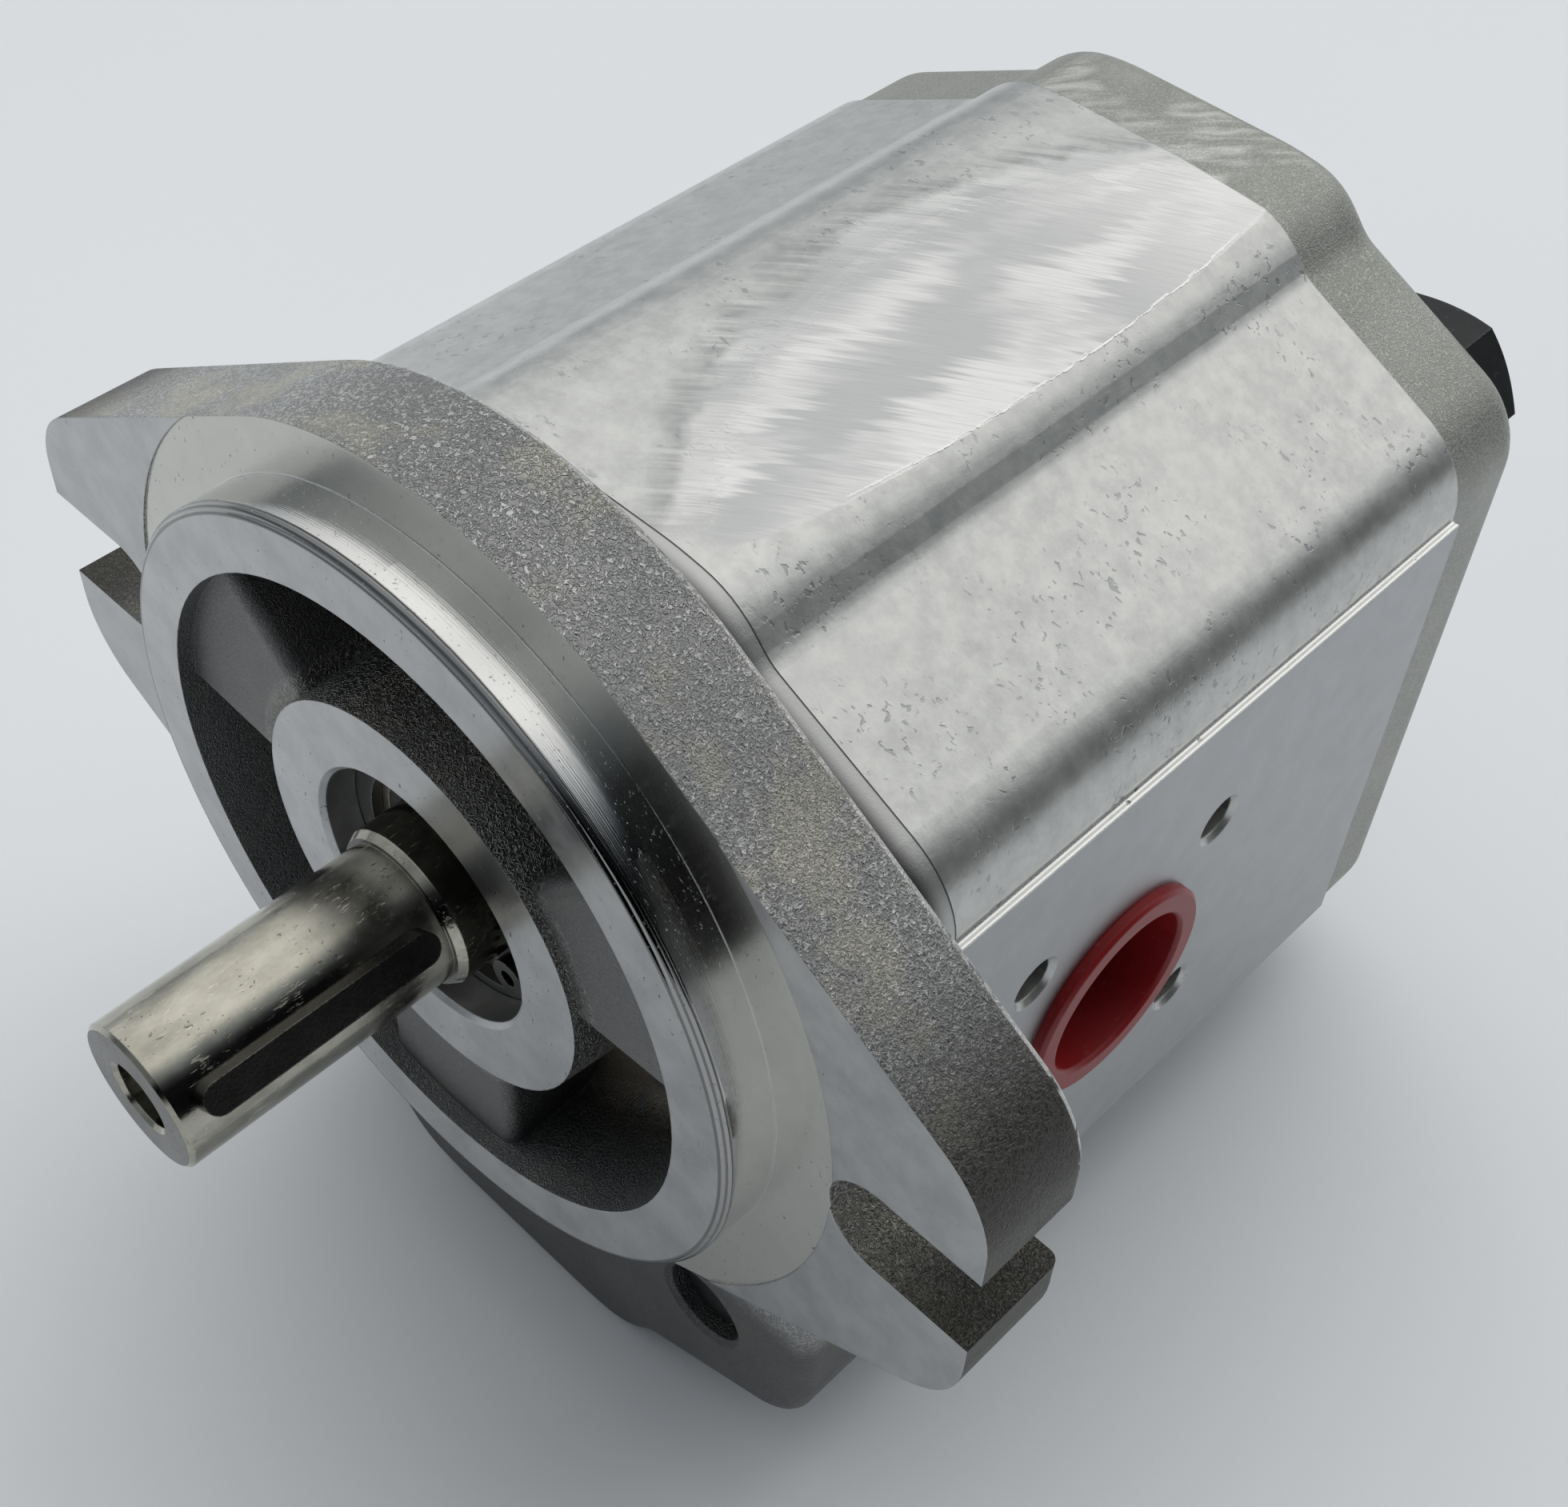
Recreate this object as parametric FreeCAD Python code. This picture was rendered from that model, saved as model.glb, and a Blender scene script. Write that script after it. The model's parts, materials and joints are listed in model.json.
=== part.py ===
import FreeCAD, Part
import math
import os

# External gear pump with a two-bolt pilot flange, keyed shaft and side ports.
# Millimetres. The origin is the centre of the pilot on the flange's mounting
# face. The drive shaft lies along Y and sticks out toward -Y, the housing runs
# toward +Y, the ports open on +X (inlet) and -X (outlet), and +Z is up.

Vec = FreeCAD.Vector
AXIS = Vec(0, 1, 0)

# ---------------------------------------------------------------- lengthwise
FLANGE_FACE_Y = 0.0
LOWER_FACE_Y = 3.0          # front face of the casting below the oval flange
FLANGE_BACK_Y = 12.2        # back of the bolting ears
BODY_FRONT_Y = 17.4         # joint between flange casting and body
BODY_REAR_Y = 94.0          # joint between body and rear cover
COVER_REAR_Y = 107.5
BLOCK_GAP = 0.05            # end play left at each face of the gear set

# ------------------------------------------------------------- gear set
CENTRE_DISTANCE = 34.0
DRIVEN_Z = -CENTRE_DISTANCE
MID_Z = -CENTRE_DISTANCE / 2
TEETH = 12
MODULE = CENTRE_DISTANCE / TEETH
PRESSURE_ANGLE = math.radians(25)
PITCH_R = MODULE * TEETH / 2
BASE_R = PITCH_R * math.cos(PRESSURE_ANGLE)
TIP_R = PITCH_R + MODULE
ROOT_R = PITCH_R - 1.25 * MODULE
TOOTH_THINNING = 0.06       # taken off each tooth at the pitch circle
GEAR_FRONT_Y = 41.05
GEAR_REAR_Y = 70.95
JOURNAL_R = 9.0
CHAMBER_R = TIP_R + 0.05
BLOCK_R = CHAMBER_R - 0.05

# ------------------------------------------------------------- shaft
SHAFT_END_Y = -35.5
SHAFT_R = 7.5
SHAFT_CHAMFER = 0.4
SHOULDER_Y = -6.8
SEAL_JOURNAL_R = 8.5
SEAL_JOURNAL_END_Y = 14.0
SEAL_LEAD = 0.8             # length of the ramp that the seal slides up
JOURNAL_END_Y = 92.5
JOURNAL_CHAMFER = 1.0
DRIVEN_FRONT_Y = 19.5       # the driven gear's front journal starts here
DRIVEN_BORE_R = 2.0         # oil hole along the driven gear
SHAFT_THREAD_R = 3.4        # core of the tapped hole in the shaft end
SHAFT_THREAD_DEPTH = 19.0
KEY_WIDTH = 3.2
KEY_HEIGHT = 3.2
KEY_TOP_R = 9.15            # distance of the key's top from the shaft axis
KEY_FRONT_Y = -33.3
KEY_REAR_Y = -8.3
KEY_ANGLE = 31.0            # degrees from +X toward +Z

# ------------------------------------------------------------- flange
PILOT_R = 41.275
PILOT_HEIGHT = 5.8
PILOT_CHAMFER = 0.7
POCKET_OUTER_R = 34.8
POCKET_DRAFT = 1.0
POCKET_FLOOR_Y = 8.0
POCKET_FILLET = 3.0
HUB_R = 21.45
HUB_FACE_Y = -4.9
WEB_TOP_Y = -4.0
WEB_START = 4.0             # the two bolt webs cover these angles, degrees
WEB_END = 45.0
LOWER_WEB_HALF = 9.5
WEB_ROUND = 1.5
CASTING_ROUND = 2.0         # rounding of the casting's front edge
CASTING_GROWTH = 0.5        # the casting stands this far outside the body
EAR_ROUND = 1.2             # rounding of the ears' rear edge
FLANGE_ROUND_R = 46.7
EAR_HALF_LENGTH = 63.9
EAR_CORNER_R = 11.6
EAR_TANGENT = math.radians(58.5)
SLOT_X = 53.2
SLOT_HALF = 5.6
TURNED_RING_R = 48.0
TURNED_RING_DEPTH = 0.2
HUB_BORE_CHAMFER = 0.5
THREAD_CHAMFER = 0.6
SEAL_BORE_R = 14.0
SEAL_FRONT_Y = 0.4
SEAL_REAR_Y = 7.4
SEAL_BORE_END_Y = 7.5
CASTING_BORE_R = 9.6

# ------------------------------------------------------------- body section
LOBE_TOP_Z = 37.6
LOBE_FLAT_HALF = 11.0
LOBE_CROWN_R = 30.0         # the lobe's flat top runs out to its edges in this curve
LOBE_EDGE_X = 17.5
LOBE_EDGE_Z = 36.75
LOBE_EDGE_R = 10.0
GROOVE_X = 22.0
GROOVE_Z = 31.9
GROOVE_R = 5.0
SIDE_X = 44.1
SHOULDER_Z = 21.5
SHOULDER_R = 10.0
PAD_X = 45.0
PAD_TOP_Z = 14.5
PAD_FOOT_R = 0.3
PAD_EDGE_R = 0.25
GROUND_START_X = -6.0       # patch ground on top of the body, deeper toward +X
GROUND_END_X = 24.0
GROUND_MIDDLE_Y = 61.0
GROUND_HALF_LENGTH = 42.5   # half of the patch's length along the line below
GROUND_LENGTH_X = 12.0
GROUND_TILT = math.radians(3.5)
COVER_SHRINK = 0.4          # the cover stands this far inside the body
COVER_ROUND = 4.0

# ------------------------------------------------------------- ports
PORT_Y = 45.0
PORT_Z = MID_Z
INLET_R = 10.5
OUTLET_R = 7.75
INLET_PCD = 40.0
OUTLET_PCD = 35.0
PORT_THREAD_R = 2.5
PORT_THREAD_DEPTH = 13.0
PORT_THREAD_CHAMFER = 0.6
INLET_RIM_R = 12.55         # rims of the transport plugs
OUTLET_RIM_R = 9.6
PLUG_DEPTH = 11.0
PLUG_WALL = 1.2
PLUG_PROUD = 1.4

# ------------------------------------------------------------- fasteners
BOLT_X = 30.0
BOLT_DZ = 31.5              # above and below the middle of the gear set
BOLT_R = 5.0
BOLT_HOLE_R = 5.5
BOLT_TIP_Y = 5.0
UPPER_THREAD_END_Y = 1.0
BOLT_HEAD_FLATS = 17.0
BOLT_HEAD_HEIGHT = 6.4
BOLT_HEAD_TURNS = (22.0, 47.0, 4.1, 35.0)    # degrees, how each head came to rest
SPOT_FACE_R = 10.8          # seat cut into the cover for each bolt head
SPOT_FACE_DEPTH = 0.3
BOLT_TIP_CHAMFER = 1.0
BOLT_CROWN_HEIGHT = 2.2     # height over which the head's corners are turned off
DOWEL_R = 3.0
DOWEL_HALF = 7.0
DOWEL_X = 36.0
DOWEL_DZ = 16.0

# ------------------------------------------------------------- sealing rings
BODY_SEAL_INNER_R = 23.6
BODY_SEAL_OUTER_R = 26.0
BODY_SEAL_DEPTH = 1.9
BALANCE_INNER_R = 15.8
BALANCE_OUTER_R = 18.2
BALANCE_DEPTH = 1.8
BACKUP_THICK = 0.7          # backup ring lies on the rubber, in the same groove
BALANCE_CUT_X = -6.0
BUSH_R = 10.0
BUSH_BORE_R = JOURNAL_R + 0.04
BUSH_LENGTH = 20.0
BUSH_SETBACK = 0.5          # bush ends stay this far behind the gear side
BUSH_SEAM = 0.4

# ------------------------------------------------------------- shaft seal
SEAL_WALL = 0.9
SEAL_CASE_INNER_R = 10.6
GARTER_MAJOR_R = 11.2
GARTER_WIRE_R = 0.7
GARTER_Y = SEAL_FRONT_Y + 5.3
LIP_CLEARANCE = 0.03
RING_THICK = 1.2
RING_PLAY = 0.05            # play on each side of the retaining ring
RING_BACK_Y = SEAL_FRONT_Y - RING_PLAY
RING_FRONT_Y = RING_BACK_Y - RING_THICK
RING_OUTER_R = SEAL_BORE_R + 0.6
RING_GROOVE_R = SEAL_BORE_R + 0.7
RING_INNER_R = 12.3
RING_ECCENTRIC = 0.7
RING_GAP_ANGLE = math.radians(-35)
RING_GAP = 5.2
RING_LUG_SPREAD = math.radians(17)
RING_LUG_PLACE_R = 11.6
RING_LUG_R = 2.1
RING_LUG_HOLE_R = 0.95


# ------------------------------------------------------------- small helpers
def cyl(radius, y0, y1, x=0.0, z=0.0):
    return Part.makeCylinder(radius, y1 - y0, Vec(x, y0, z), AXIS)


def cyl_x(radius, x0, x1, y, z):
    return Part.makeCylinder(radius, x1 - x0, Vec(x0, y, z), Vec(1, 0, 0))


def cone(r0, r1, y0, y1, x=0.0, z=0.0):
    return Part.makeCone(r0, r1, y1 - y0, Vec(x, y0, z), AXIS)


def tube(inner, outer, y0, y1, x=0.0, z=0.0):
    return cyl(outer, y0, y1, x, z).cut(cyl(inner, y0 - 1, y1 + 1, x, z))


def box(x0, x1, y0, y1, z0, z1):
    return Part.makeBox(x1 - x0, y1 - y0, z1 - z0, Vec(x0, y0, z0))


def turned(profile, x=0.0, z=0.0):
    """Solid of revolution about Y from (radius, y) corners."""
    points = [Vec(x + r, y, z) for r, y in profile]
    wire = Part.makePolygon(points + points[:1])
    return Part.Face(wire).revolve(Vec(x, 0, z), AXIS, 360)


def turned_x(profile, y, z):
    """Solid of revolution about an axis along X from (radius, x) corners."""
    points = [Vec(x, y + r, z) for r, x in profile]
    wire = Part.makePolygon(points + points[:1])
    return Part.Face(wire).revolve(Vec(0, y, z), Vec(1, 0, 0), 360)


def rounded_wire(corners, y):
    """Closed wire in a plane of constant y through (x, z, radius) corners."""
    count = len(corners)
    stations = []
    for i in range(count):
        px, pz, _ = corners[i - 1]
        cx, cz, radius = corners[i]
        nx, nz, _ = corners[(i + 1) % count]
        here = Vec(cx, y, cz)
        if radius <= 0:
            stations.append((here, None, here))
            continue
        back = Vec(px - cx, 0, pz - cz).normalize()
        ahead = Vec(nx - cx, 0, nz - cz).normalize()
        half = back.getAngle(ahead) / 2
        reach = radius / math.tan(half)
        centre_dir = (back + ahead).normalize()
        middle = here + centre_dir * (radius / math.sin(half) - radius)
        stations.append((here + back * reach, middle, here + ahead * reach))
    edges = []
    for i in range(count):
        start, middle, end = stations[i]
        following = stations[(i + 1) % count][0]
        if middle is not None:
            edges.append(Part.Arc(start, middle, end).toShape())
        if end.distanceToPoint(following) > 1e-6:
            edges.append(Part.makeLine(end, following))
    return Part.Wire(edges)


def prism(wire, length):
    return Part.Face(wire).extrude(Vec(0, length, 0))


def mirrored_section(quarter):
    """Full closed outline from the corners of the upper right quarter."""
    def low(z):
        return 2 * MID_Z - z
    right = list(quarter) + [(x, low(z), r) for x, z, r in reversed(quarter)]
    left = [(-x, z, r) for x, z, r in reversed(right)]
    return right + left


def soften(shape, radius, wanted):
    """Round every edge for which wanted(edge) is true."""
    edges = [e for e in shape.Edges if wanted(e)]
    return shape.makeFillet(radius, edges) if edges else shape


def in_plane(edge, y):
    box_ = edge.BoundBox
    return abs(box_.YMin - y) < 1e-4 and abs(box_.YMax - y) < 1e-4


def bolt_places():
    for x in (-BOLT_X, BOLT_X):
        for z in (MID_Z + BOLT_DZ, MID_Z - BOLT_DZ):
            yield x, z


def dowel_places():
    return [(DOWEL_X, MID_Z + DOWEL_DZ), (-DOWEL_X, MID_Z - DOWEL_DZ)]


def obround(radius, y0, y1):
    """Racetrack shape round both gear axes."""
    ends = cyl(radius, y0, y1).fuse(cyl(radius, y0, y1, 0, DRIVEN_Z))
    middle = box(-radius, radius, y0, y1, DRIVEN_Z, 0)
    return ends.fuse(middle).removeSplitter()


def two_bores(radius, y0, y1):
    """Two round shapes, one round each gear axis."""
    pair = cyl(radius, y0, y1).fuse(cyl(radius, y0, y1, 0, DRIVEN_Z))
    return pair.removeSplitter()


# ------------------------------------------------------------- sections
def body_section(pad_x, grow):
    """Corners of the housing section; pad_x is how far the port pad stands."""
    quarter = [
        (LOBE_FLAT_HALF, LOBE_TOP_Z + grow, LOBE_CROWN_R),
        (LOBE_EDGE_X + grow, LOBE_EDGE_Z + grow, LOBE_EDGE_R),
        (GROOVE_X + grow, GROOVE_Z + grow, GROOVE_R),
        (SIDE_X + grow, SHOULDER_Z + grow, SHOULDER_R),
    ]
    if pad_x > SIDE_X + grow:
        quarter.append((SIDE_X + grow, PAD_TOP_Z, PAD_FOOT_R))
        quarter.append((pad_x, PAD_TOP_Z, PAD_EDGE_R))
    return mirrored_section(quarter)


def oval_corner():
    """Centre of the rounded ear corner, tangent to the flange's straight side."""
    x = EAR_HALF_LENGTH - EAR_CORNER_R
    reach = FLANGE_ROUND_R - EAR_CORNER_R
    z = (reach - x * math.cos(EAR_TANGENT)) / math.sin(EAR_TANGENT)
    return x, z


def oval_wire(y):
    """Outline of the two-bolt flange: big round, straight sides, ear corners."""
    cx, cz = oval_corner()

    def on_round(angle):
        return (FLANGE_ROUND_R * math.cos(angle), FLANGE_ROUND_R * math.sin(angle))

    def on_corner(angle):
        return (cx + EAR_CORNER_R * math.cos(angle), cz + EAR_CORNER_R * math.sin(angle))

    edges = []
    for sx in (1, -1):
        for sz in (1, -1):
            a = on_round(EAR_TANGENT)
            b = on_corner(EAR_TANGENT)
            m = on_corner(EAR_TANGENT / 2)
            c = on_corner(0)
            pts = [Vec(sx * p[0], y, sz * p[1]) for p in (a, b, m, c)]
            edges.append(Part.makeLine(pts[0], pts[1]))
            edges.append(Part.Arc(pts[1], pts[2], pts[3]).toShape())
    for sz in (1, -1):
        a = on_round(EAR_TANGENT)
        edges.append(Part.Arc(
            Vec(-a[0], y, sz * a[1]),
            Vec(0, y, sz * FLANGE_ROUND_R),
            Vec(a[0], y, sz * a[1]),
        ).toShape())
    for sx in (1, -1):
        c = on_corner(0)
        edges.append(Part.makeLine(Vec(sx * c[0], y, c[1]), Vec(sx * c[0], y, -c[1])))
    return Part.Wire(Part.__sortEdges__(edges))


# ------------------------------------------------------------- flange casting
def flange_pocket():
    """Cored ring pocket between hub and pilot, less the three webs."""
    front = -PILOT_HEIGHT - 1
    depth = POCKET_FLOOR_Y + PILOT_HEIGHT
    slope = POCKET_DRAFT / depth
    outer_front = POCKET_OUTER_R + slope
    hub_front = HUB_R - slope * (HUB_FACE_Y - front)
    ring = turned([
        (hub_front, front),
        (outer_front, front),
        (POCKET_OUTER_R - POCKET_DRAFT, POCKET_FLOOR_Y),
        (HUB_R + POCKET_DRAFT, POCKET_FLOOR_Y),
    ])
    webs = []
    for side in (1, -1):
        webs.append(web_sector(side, WEB_TOP_Y, POCKET_FLOOR_Y + 1))
    webs.append(box(-LOWER_WEB_HALF, LOWER_WEB_HALF, WEB_TOP_Y, POCKET_FLOOR_Y + 1,
                    -POCKET_OUTER_R - 2, -HUB_R + 2))
    pocket = soften(ring, POCKET_FILLET, lambda e: in_plane(e, POCKET_FLOOR_Y))
    for web in webs:
        pocket = pocket.cut(web)
    return soften(pocket, WEB_ROUND, web_shoulder)


def web_shoulder(edge):
    """True for the straight edges along the tops of the webs."""
    return in_plane(edge, WEB_TOP_Y) and isinstance(edge.Curve, Part.Line)


def web_sector(side, y0, y1):
    """Sector-shaped web that carries one upper bolt thread."""
    a0, a1 = math.radians(WEB_START), math.radians(WEB_END)
    far = POCKET_OUTER_R + 3
    points = [Vec(0, y0, 0)]
    for angle in (a0, (a0 + a1) / 2, a1):
        reach = far / math.cos((a1 - a0) / 2) if angle not in (a0, a1) else far
        points.append(Vec(side * reach * math.cos(angle), y0, reach * math.sin(angle)))
    wire = Part.makePolygon(points + points[:1])
    return Part.Face(wire).extrude(Vec(0, y1 - y0, 0))


def mounting_flange():
    oval = prism(oval_wire(FLANGE_FACE_Y), FLANGE_BACK_Y - FLANGE_FACE_Y)
    oval = soften(oval, EAR_ROUND, lambda e: in_plane(e, FLANGE_BACK_Y))
    block = prism(rounded_wire(body_section(0, CASTING_GROWTH), LOWER_FACE_Y),
                  BODY_FRONT_Y - LOWER_FACE_Y)
    block = soften(block, CASTING_ROUND, lambda e: in_plane(e, LOWER_FACE_Y))
    pilot = turned([
        (0, -PILOT_HEIGHT),
        (PILOT_R - PILOT_CHAMFER, -PILOT_HEIGHT),
        (PILOT_R, -PILOT_HEIGHT + PILOT_CHAMFER),
        (PILOT_R, 1.0),
        (0, 1.0),
    ])
    shape = oval.fuse([block, pilot])
    shape = shape.cut(tube(PILOT_R, TURNED_RING_R, -1, TURNED_RING_DEPTH))
    shape = shape.cut(flange_pocket())
    shape = shape.cut(cyl(HUB_R + 0.6, -PILOT_HEIGHT - 1, HUB_FACE_Y))
    # seal bore with its lead-in, ring groove, and clearance for the shaft
    shape = shape.cut(cyl(SEAL_BORE_R, -PILOT_HEIGHT - 1, SEAL_BORE_END_Y))
    shape = shape.cut(cone(SEAL_BORE_R + HUB_BORE_CHAMFER, SEAL_BORE_R,
                           HUB_FACE_Y, HUB_FACE_Y + HUB_BORE_CHAMFER))
    shape = shape.cut(cyl(RING_GROOVE_R, RING_FRONT_Y - RING_PLAY, SEAL_FRONT_Y))
    shape = shape.cut(cyl(CASTING_BORE_R, 0, BODY_FRONT_Y + 1))
    for sx in (1, -1):
        shape = shape.cut(slot(sx))
    for x, z in bolt_places():
        start = LOWER_FACE_Y - 1 if z < MID_Z else UPPER_THREAD_END_Y
        shape = shape.cut(cyl(BOLT_R, start, BODY_FRONT_Y + 1, x, z))
        if z < MID_Z:
            shape = shape.cut(cone(BOLT_R + THREAD_CHAMFER, BOLT_R, LOWER_FACE_Y,
                                   LOWER_FACE_Y + THREAD_CHAMFER, x, z))
    for x, z in dowel_places():
        shape = shape.cut(cyl(DOWEL_R, BODY_FRONT_Y - DOWEL_HALF - 0.5,
                              BODY_FRONT_Y + 1, x, z))
    return shape.removeSplitter()


def slot(side):
    """Open-ended bolt slot in one ear."""
    x0, x1 = sorted((side * SLOT_X, side * (EAR_HALF_LENGTH + 5)))
    round_end = cyl(SLOT_HALF, -1, FLANGE_BACK_Y + 1, side * SLOT_X, 0)
    return round_end.fuse(box(x0, x1, -1, FLANGE_BACK_Y + 1, -SLOT_HALF, SLOT_HALF))


# ------------------------------------------------------------- body
def pump_body():
    shape = prism(rounded_wire(body_section(PAD_X, 0.0), BODY_FRONT_Y),
                  BODY_REAR_Y - BODY_FRONT_Y)
    shape = shape.cut(ground_cut())
    shape = shape.cut(two_bores(CHAMBER_R, BODY_FRONT_Y - 1, BODY_REAR_Y + 1))
    shape = shape.cut(cyl_x(INLET_R, 0, PAD_X + 1, PORT_Y, PORT_Z))
    shape = shape.cut(cyl_x(OUTLET_R, -PAD_X - 1, 0, PORT_Y, PORT_Z))
    for side, pcd in ((1, INLET_PCD), (-1, OUTLET_PCD)):
        for y, z in port_hole_places(pcd):
            x0, x1 = sorted((side * (PAD_X - PORT_THREAD_DEPTH), side * (PAD_X + 1)))
            shape = shape.cut(cyl_x(PORT_THREAD_R, x0, x1, y, z))
            shape = shape.cut(port_hole_chamfer(side, y, z))
    for x, z in bolt_places():
        shape = shape.cut(cyl(BOLT_HOLE_R, BODY_FRONT_Y - 1, BODY_REAR_Y + 1, x, z))
    for x, z in dowel_places():
        shape = shape.cut(cyl(DOWEL_R, BODY_FRONT_Y - 1, BODY_FRONT_Y + DOWEL_HALF + 0.5, x, z))
        shape = shape.cut(cyl(DOWEL_R, BODY_REAR_Y - DOWEL_HALF - 0.5, BODY_REAR_Y + 1, x, z))
    for y0, y1 in ((BODY_FRONT_Y - 1, BODY_FRONT_Y + BODY_SEAL_DEPTH),
                   (BODY_REAR_Y - BODY_SEAL_DEPTH, BODY_REAR_Y + 1)):
        groove = obround(BODY_SEAL_OUTER_R, y0, y1).cut(
            obround(BODY_SEAL_INNER_R, y0 - 1, y1 + 1))
        shape = shape.cut(groove)
    return shape.removeSplitter()


def ground_cut():
    """Very large cylinder whose lowest line leaves the top at GROUND_START_X."""
    depth = (GROUND_LENGTH_X - GROUND_START_X) * math.tan(GROUND_TILT)
    radius = GROUND_HALF_LENGTH ** 2 / (2 * depth)
    along = Vec(math.cos(GROUND_TILT), 0, -math.sin(GROUND_TILT))
    upward = Vec(math.sin(GROUND_TILT), 0, math.cos(GROUND_TILT))
    start = Vec(GROUND_START_X, GROUND_MIDDLE_Y, LOBE_TOP_Z) + upward * radius
    return Part.makeCylinder(radius, GROUND_END_X - GROUND_START_X, start, along)


def port_hole_chamfer(side, y, z):
    face = Vec(side * PAD_X, y, z)
    return Part.makeCone(PORT_THREAD_R + PORT_THREAD_CHAMFER, PORT_THREAD_R,
                         PORT_THREAD_CHAMFER, face, Vec(-side, 0, 0))


def port_hole_places(pcd):
    offset = pcd / 2 / math.sqrt(2)
    for dy in (-offset, offset):
        for dz in (-offset, offset):
            yield PORT_Y + dy, PORT_Z + dz


def body_seal(y0, y1):
    ring = obround(BODY_SEAL_OUTER_R, y0, y1)
    return ring.cut(obround(BODY_SEAL_INNER_R, y0 - 1, y1 + 1))


# ------------------------------------------------------------- rear cover
def rear_cover():
    shape = prism(rounded_wire(body_section(0, -COVER_SHRINK), BODY_REAR_Y),
                  COVER_REAR_Y - BODY_REAR_Y)
    shape = soften(shape, COVER_ROUND, lambda e: in_plane(e, COVER_REAR_Y))
    for x, z in bolt_places():
        shape = shape.cut(cyl(BOLT_HOLE_R, BODY_REAR_Y - 1, COVER_REAR_Y + 1, x, z))
        shape = shape.cut(cyl(SPOT_FACE_R, COVER_REAR_Y - SPOT_FACE_DEPTH,
                              COVER_REAR_Y + 1, x, z))
    for x, z in dowel_places():
        shape = shape.cut(cyl(DOWEL_R, BODY_REAR_Y - 1, BODY_REAR_Y + DOWEL_HALF + 0.5, x, z))
    return shape.removeSplitter()


# ------------------------------------------------------------- bearing blocks
def balance_band(y0, y1):
    """Band shaped like a 3 round both journals, open toward the outlet."""
    band = two_bores(BALANCE_OUTER_R, y0, y1).cut(
        two_bores(BALANCE_INNER_R, y0 - 1, y1 + 1))
    return band.cut(box(-60, BALANCE_CUT_X, y0 - 1, y1 + 1, -90, 60))


def bearing_block(y0, y1, groove_y0, groove_y1):
    block = two_bores(BLOCK_R, y0, y1)
    for z in (0, DRIVEN_Z):
        block = block.cut(cyl(BUSH_R, y0 - 1, y1 + 1, 0, z))
    return block.cut(balance_band(groove_y0, groove_y1))


def bush(y0, z):
    """Rolled bush with its straight seam at the bottom."""
    ring = tube(BUSH_BORE_R, BUSH_R, y0, y0 + BUSH_LENGTH, 0, z)
    return ring.cut(box(-BUSH_SEAM / 2, BUSH_SEAM / 2, y0 - 1, y0 + BUSH_LENGTH + 1,
                        z - BUSH_R - 1, z - BUSH_BORE_R + 0.5))


# ------------------------------------------------------------- gears
def involute_angle(radius):
    """Polar angle gained by the involute between the base circle and radius."""
    alpha = math.acos(BASE_R / radius)
    return math.tan(alpha) - alpha


def tooth_half_angle(radius):
    at_pitch = (math.pi * MODULE / 2 - TOOTH_THINNING) / (2 * PITCH_R)
    return at_pitch + involute_angle(PITCH_R) - involute_angle(radius)


def gear_wire(first_tooth, y):
    """Outline of all the teeth; first_tooth is the polar angle of one tooth."""
    def polar(radius, angle):
        return Vec(radius * math.cos(angle), y, radius * math.sin(angle))
    steps = 8
    radii = [BASE_R + (TIP_R - BASE_R) * i / steps for i in range(steps + 1)]
    pitch_angle = 2 * math.pi / TEETH
    edges = []
    for k in range(TEETH):
        middle = first_tooth + k * pitch_angle
        rising = [polar(r, middle - tooth_half_angle(r)) for r in radii]
        falling = [polar(r, middle + tooth_half_angle(r)) for r in reversed(radii)]
        half_base = tooth_half_angle(BASE_R)
        foot_in = polar(ROOT_R, middle - half_base)
        foot_out = polar(ROOT_R, middle + half_base)
        edges.append(Part.makeLine(foot_in, rising[0]))
        flank = Part.BSplineCurve()
        flank.interpolate(rising)
        edges.append(flank.toShape())
        edges.append(Part.Arc(rising[-1], polar(TIP_R, middle), falling[0]).toShape())
        flank = Part.BSplineCurve()
        flank.interpolate(falling)
        edges.append(flank.toShape())
        edges.append(Part.makeLine(falling[-1], foot_out))
        next_foot = polar(ROOT_R, middle + pitch_angle - half_base)
        edges.append(Part.Arc(foot_out, polar(ROOT_R, middle + pitch_angle / 2),
                              next_foot).toShape())
    return Part.Wire(edges)


def gear_rim(first_tooth, z):
    wire = gear_wire(first_tooth, GEAR_FRONT_Y)
    teeth = prism(wire, GEAR_REAR_Y - GEAR_FRONT_Y)
    teeth.translate(Vec(0, 0, z))
    return teeth


def key_shape():
    """Parallel key with round ends, seated in the shaft."""
    half = KEY_WIDTH / 2
    base = KEY_TOP_R - KEY_HEIGHT
    ends = []
    for y in (KEY_FRONT_Y + half, KEY_REAR_Y - half):
        ends.append(Part.makeCylinder(half, KEY_HEIGHT, Vec(base, y, 0), Vec(1, 0, 0)))
    middle = box(base, KEY_TOP_R, KEY_FRONT_Y + half, KEY_REAR_Y - half, -half, half)
    key = middle.fuse(ends).removeSplitter()
    key.rotate(Vec(0, 0, 0), AXIS, -KEY_ANGLE)
    return key


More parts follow.
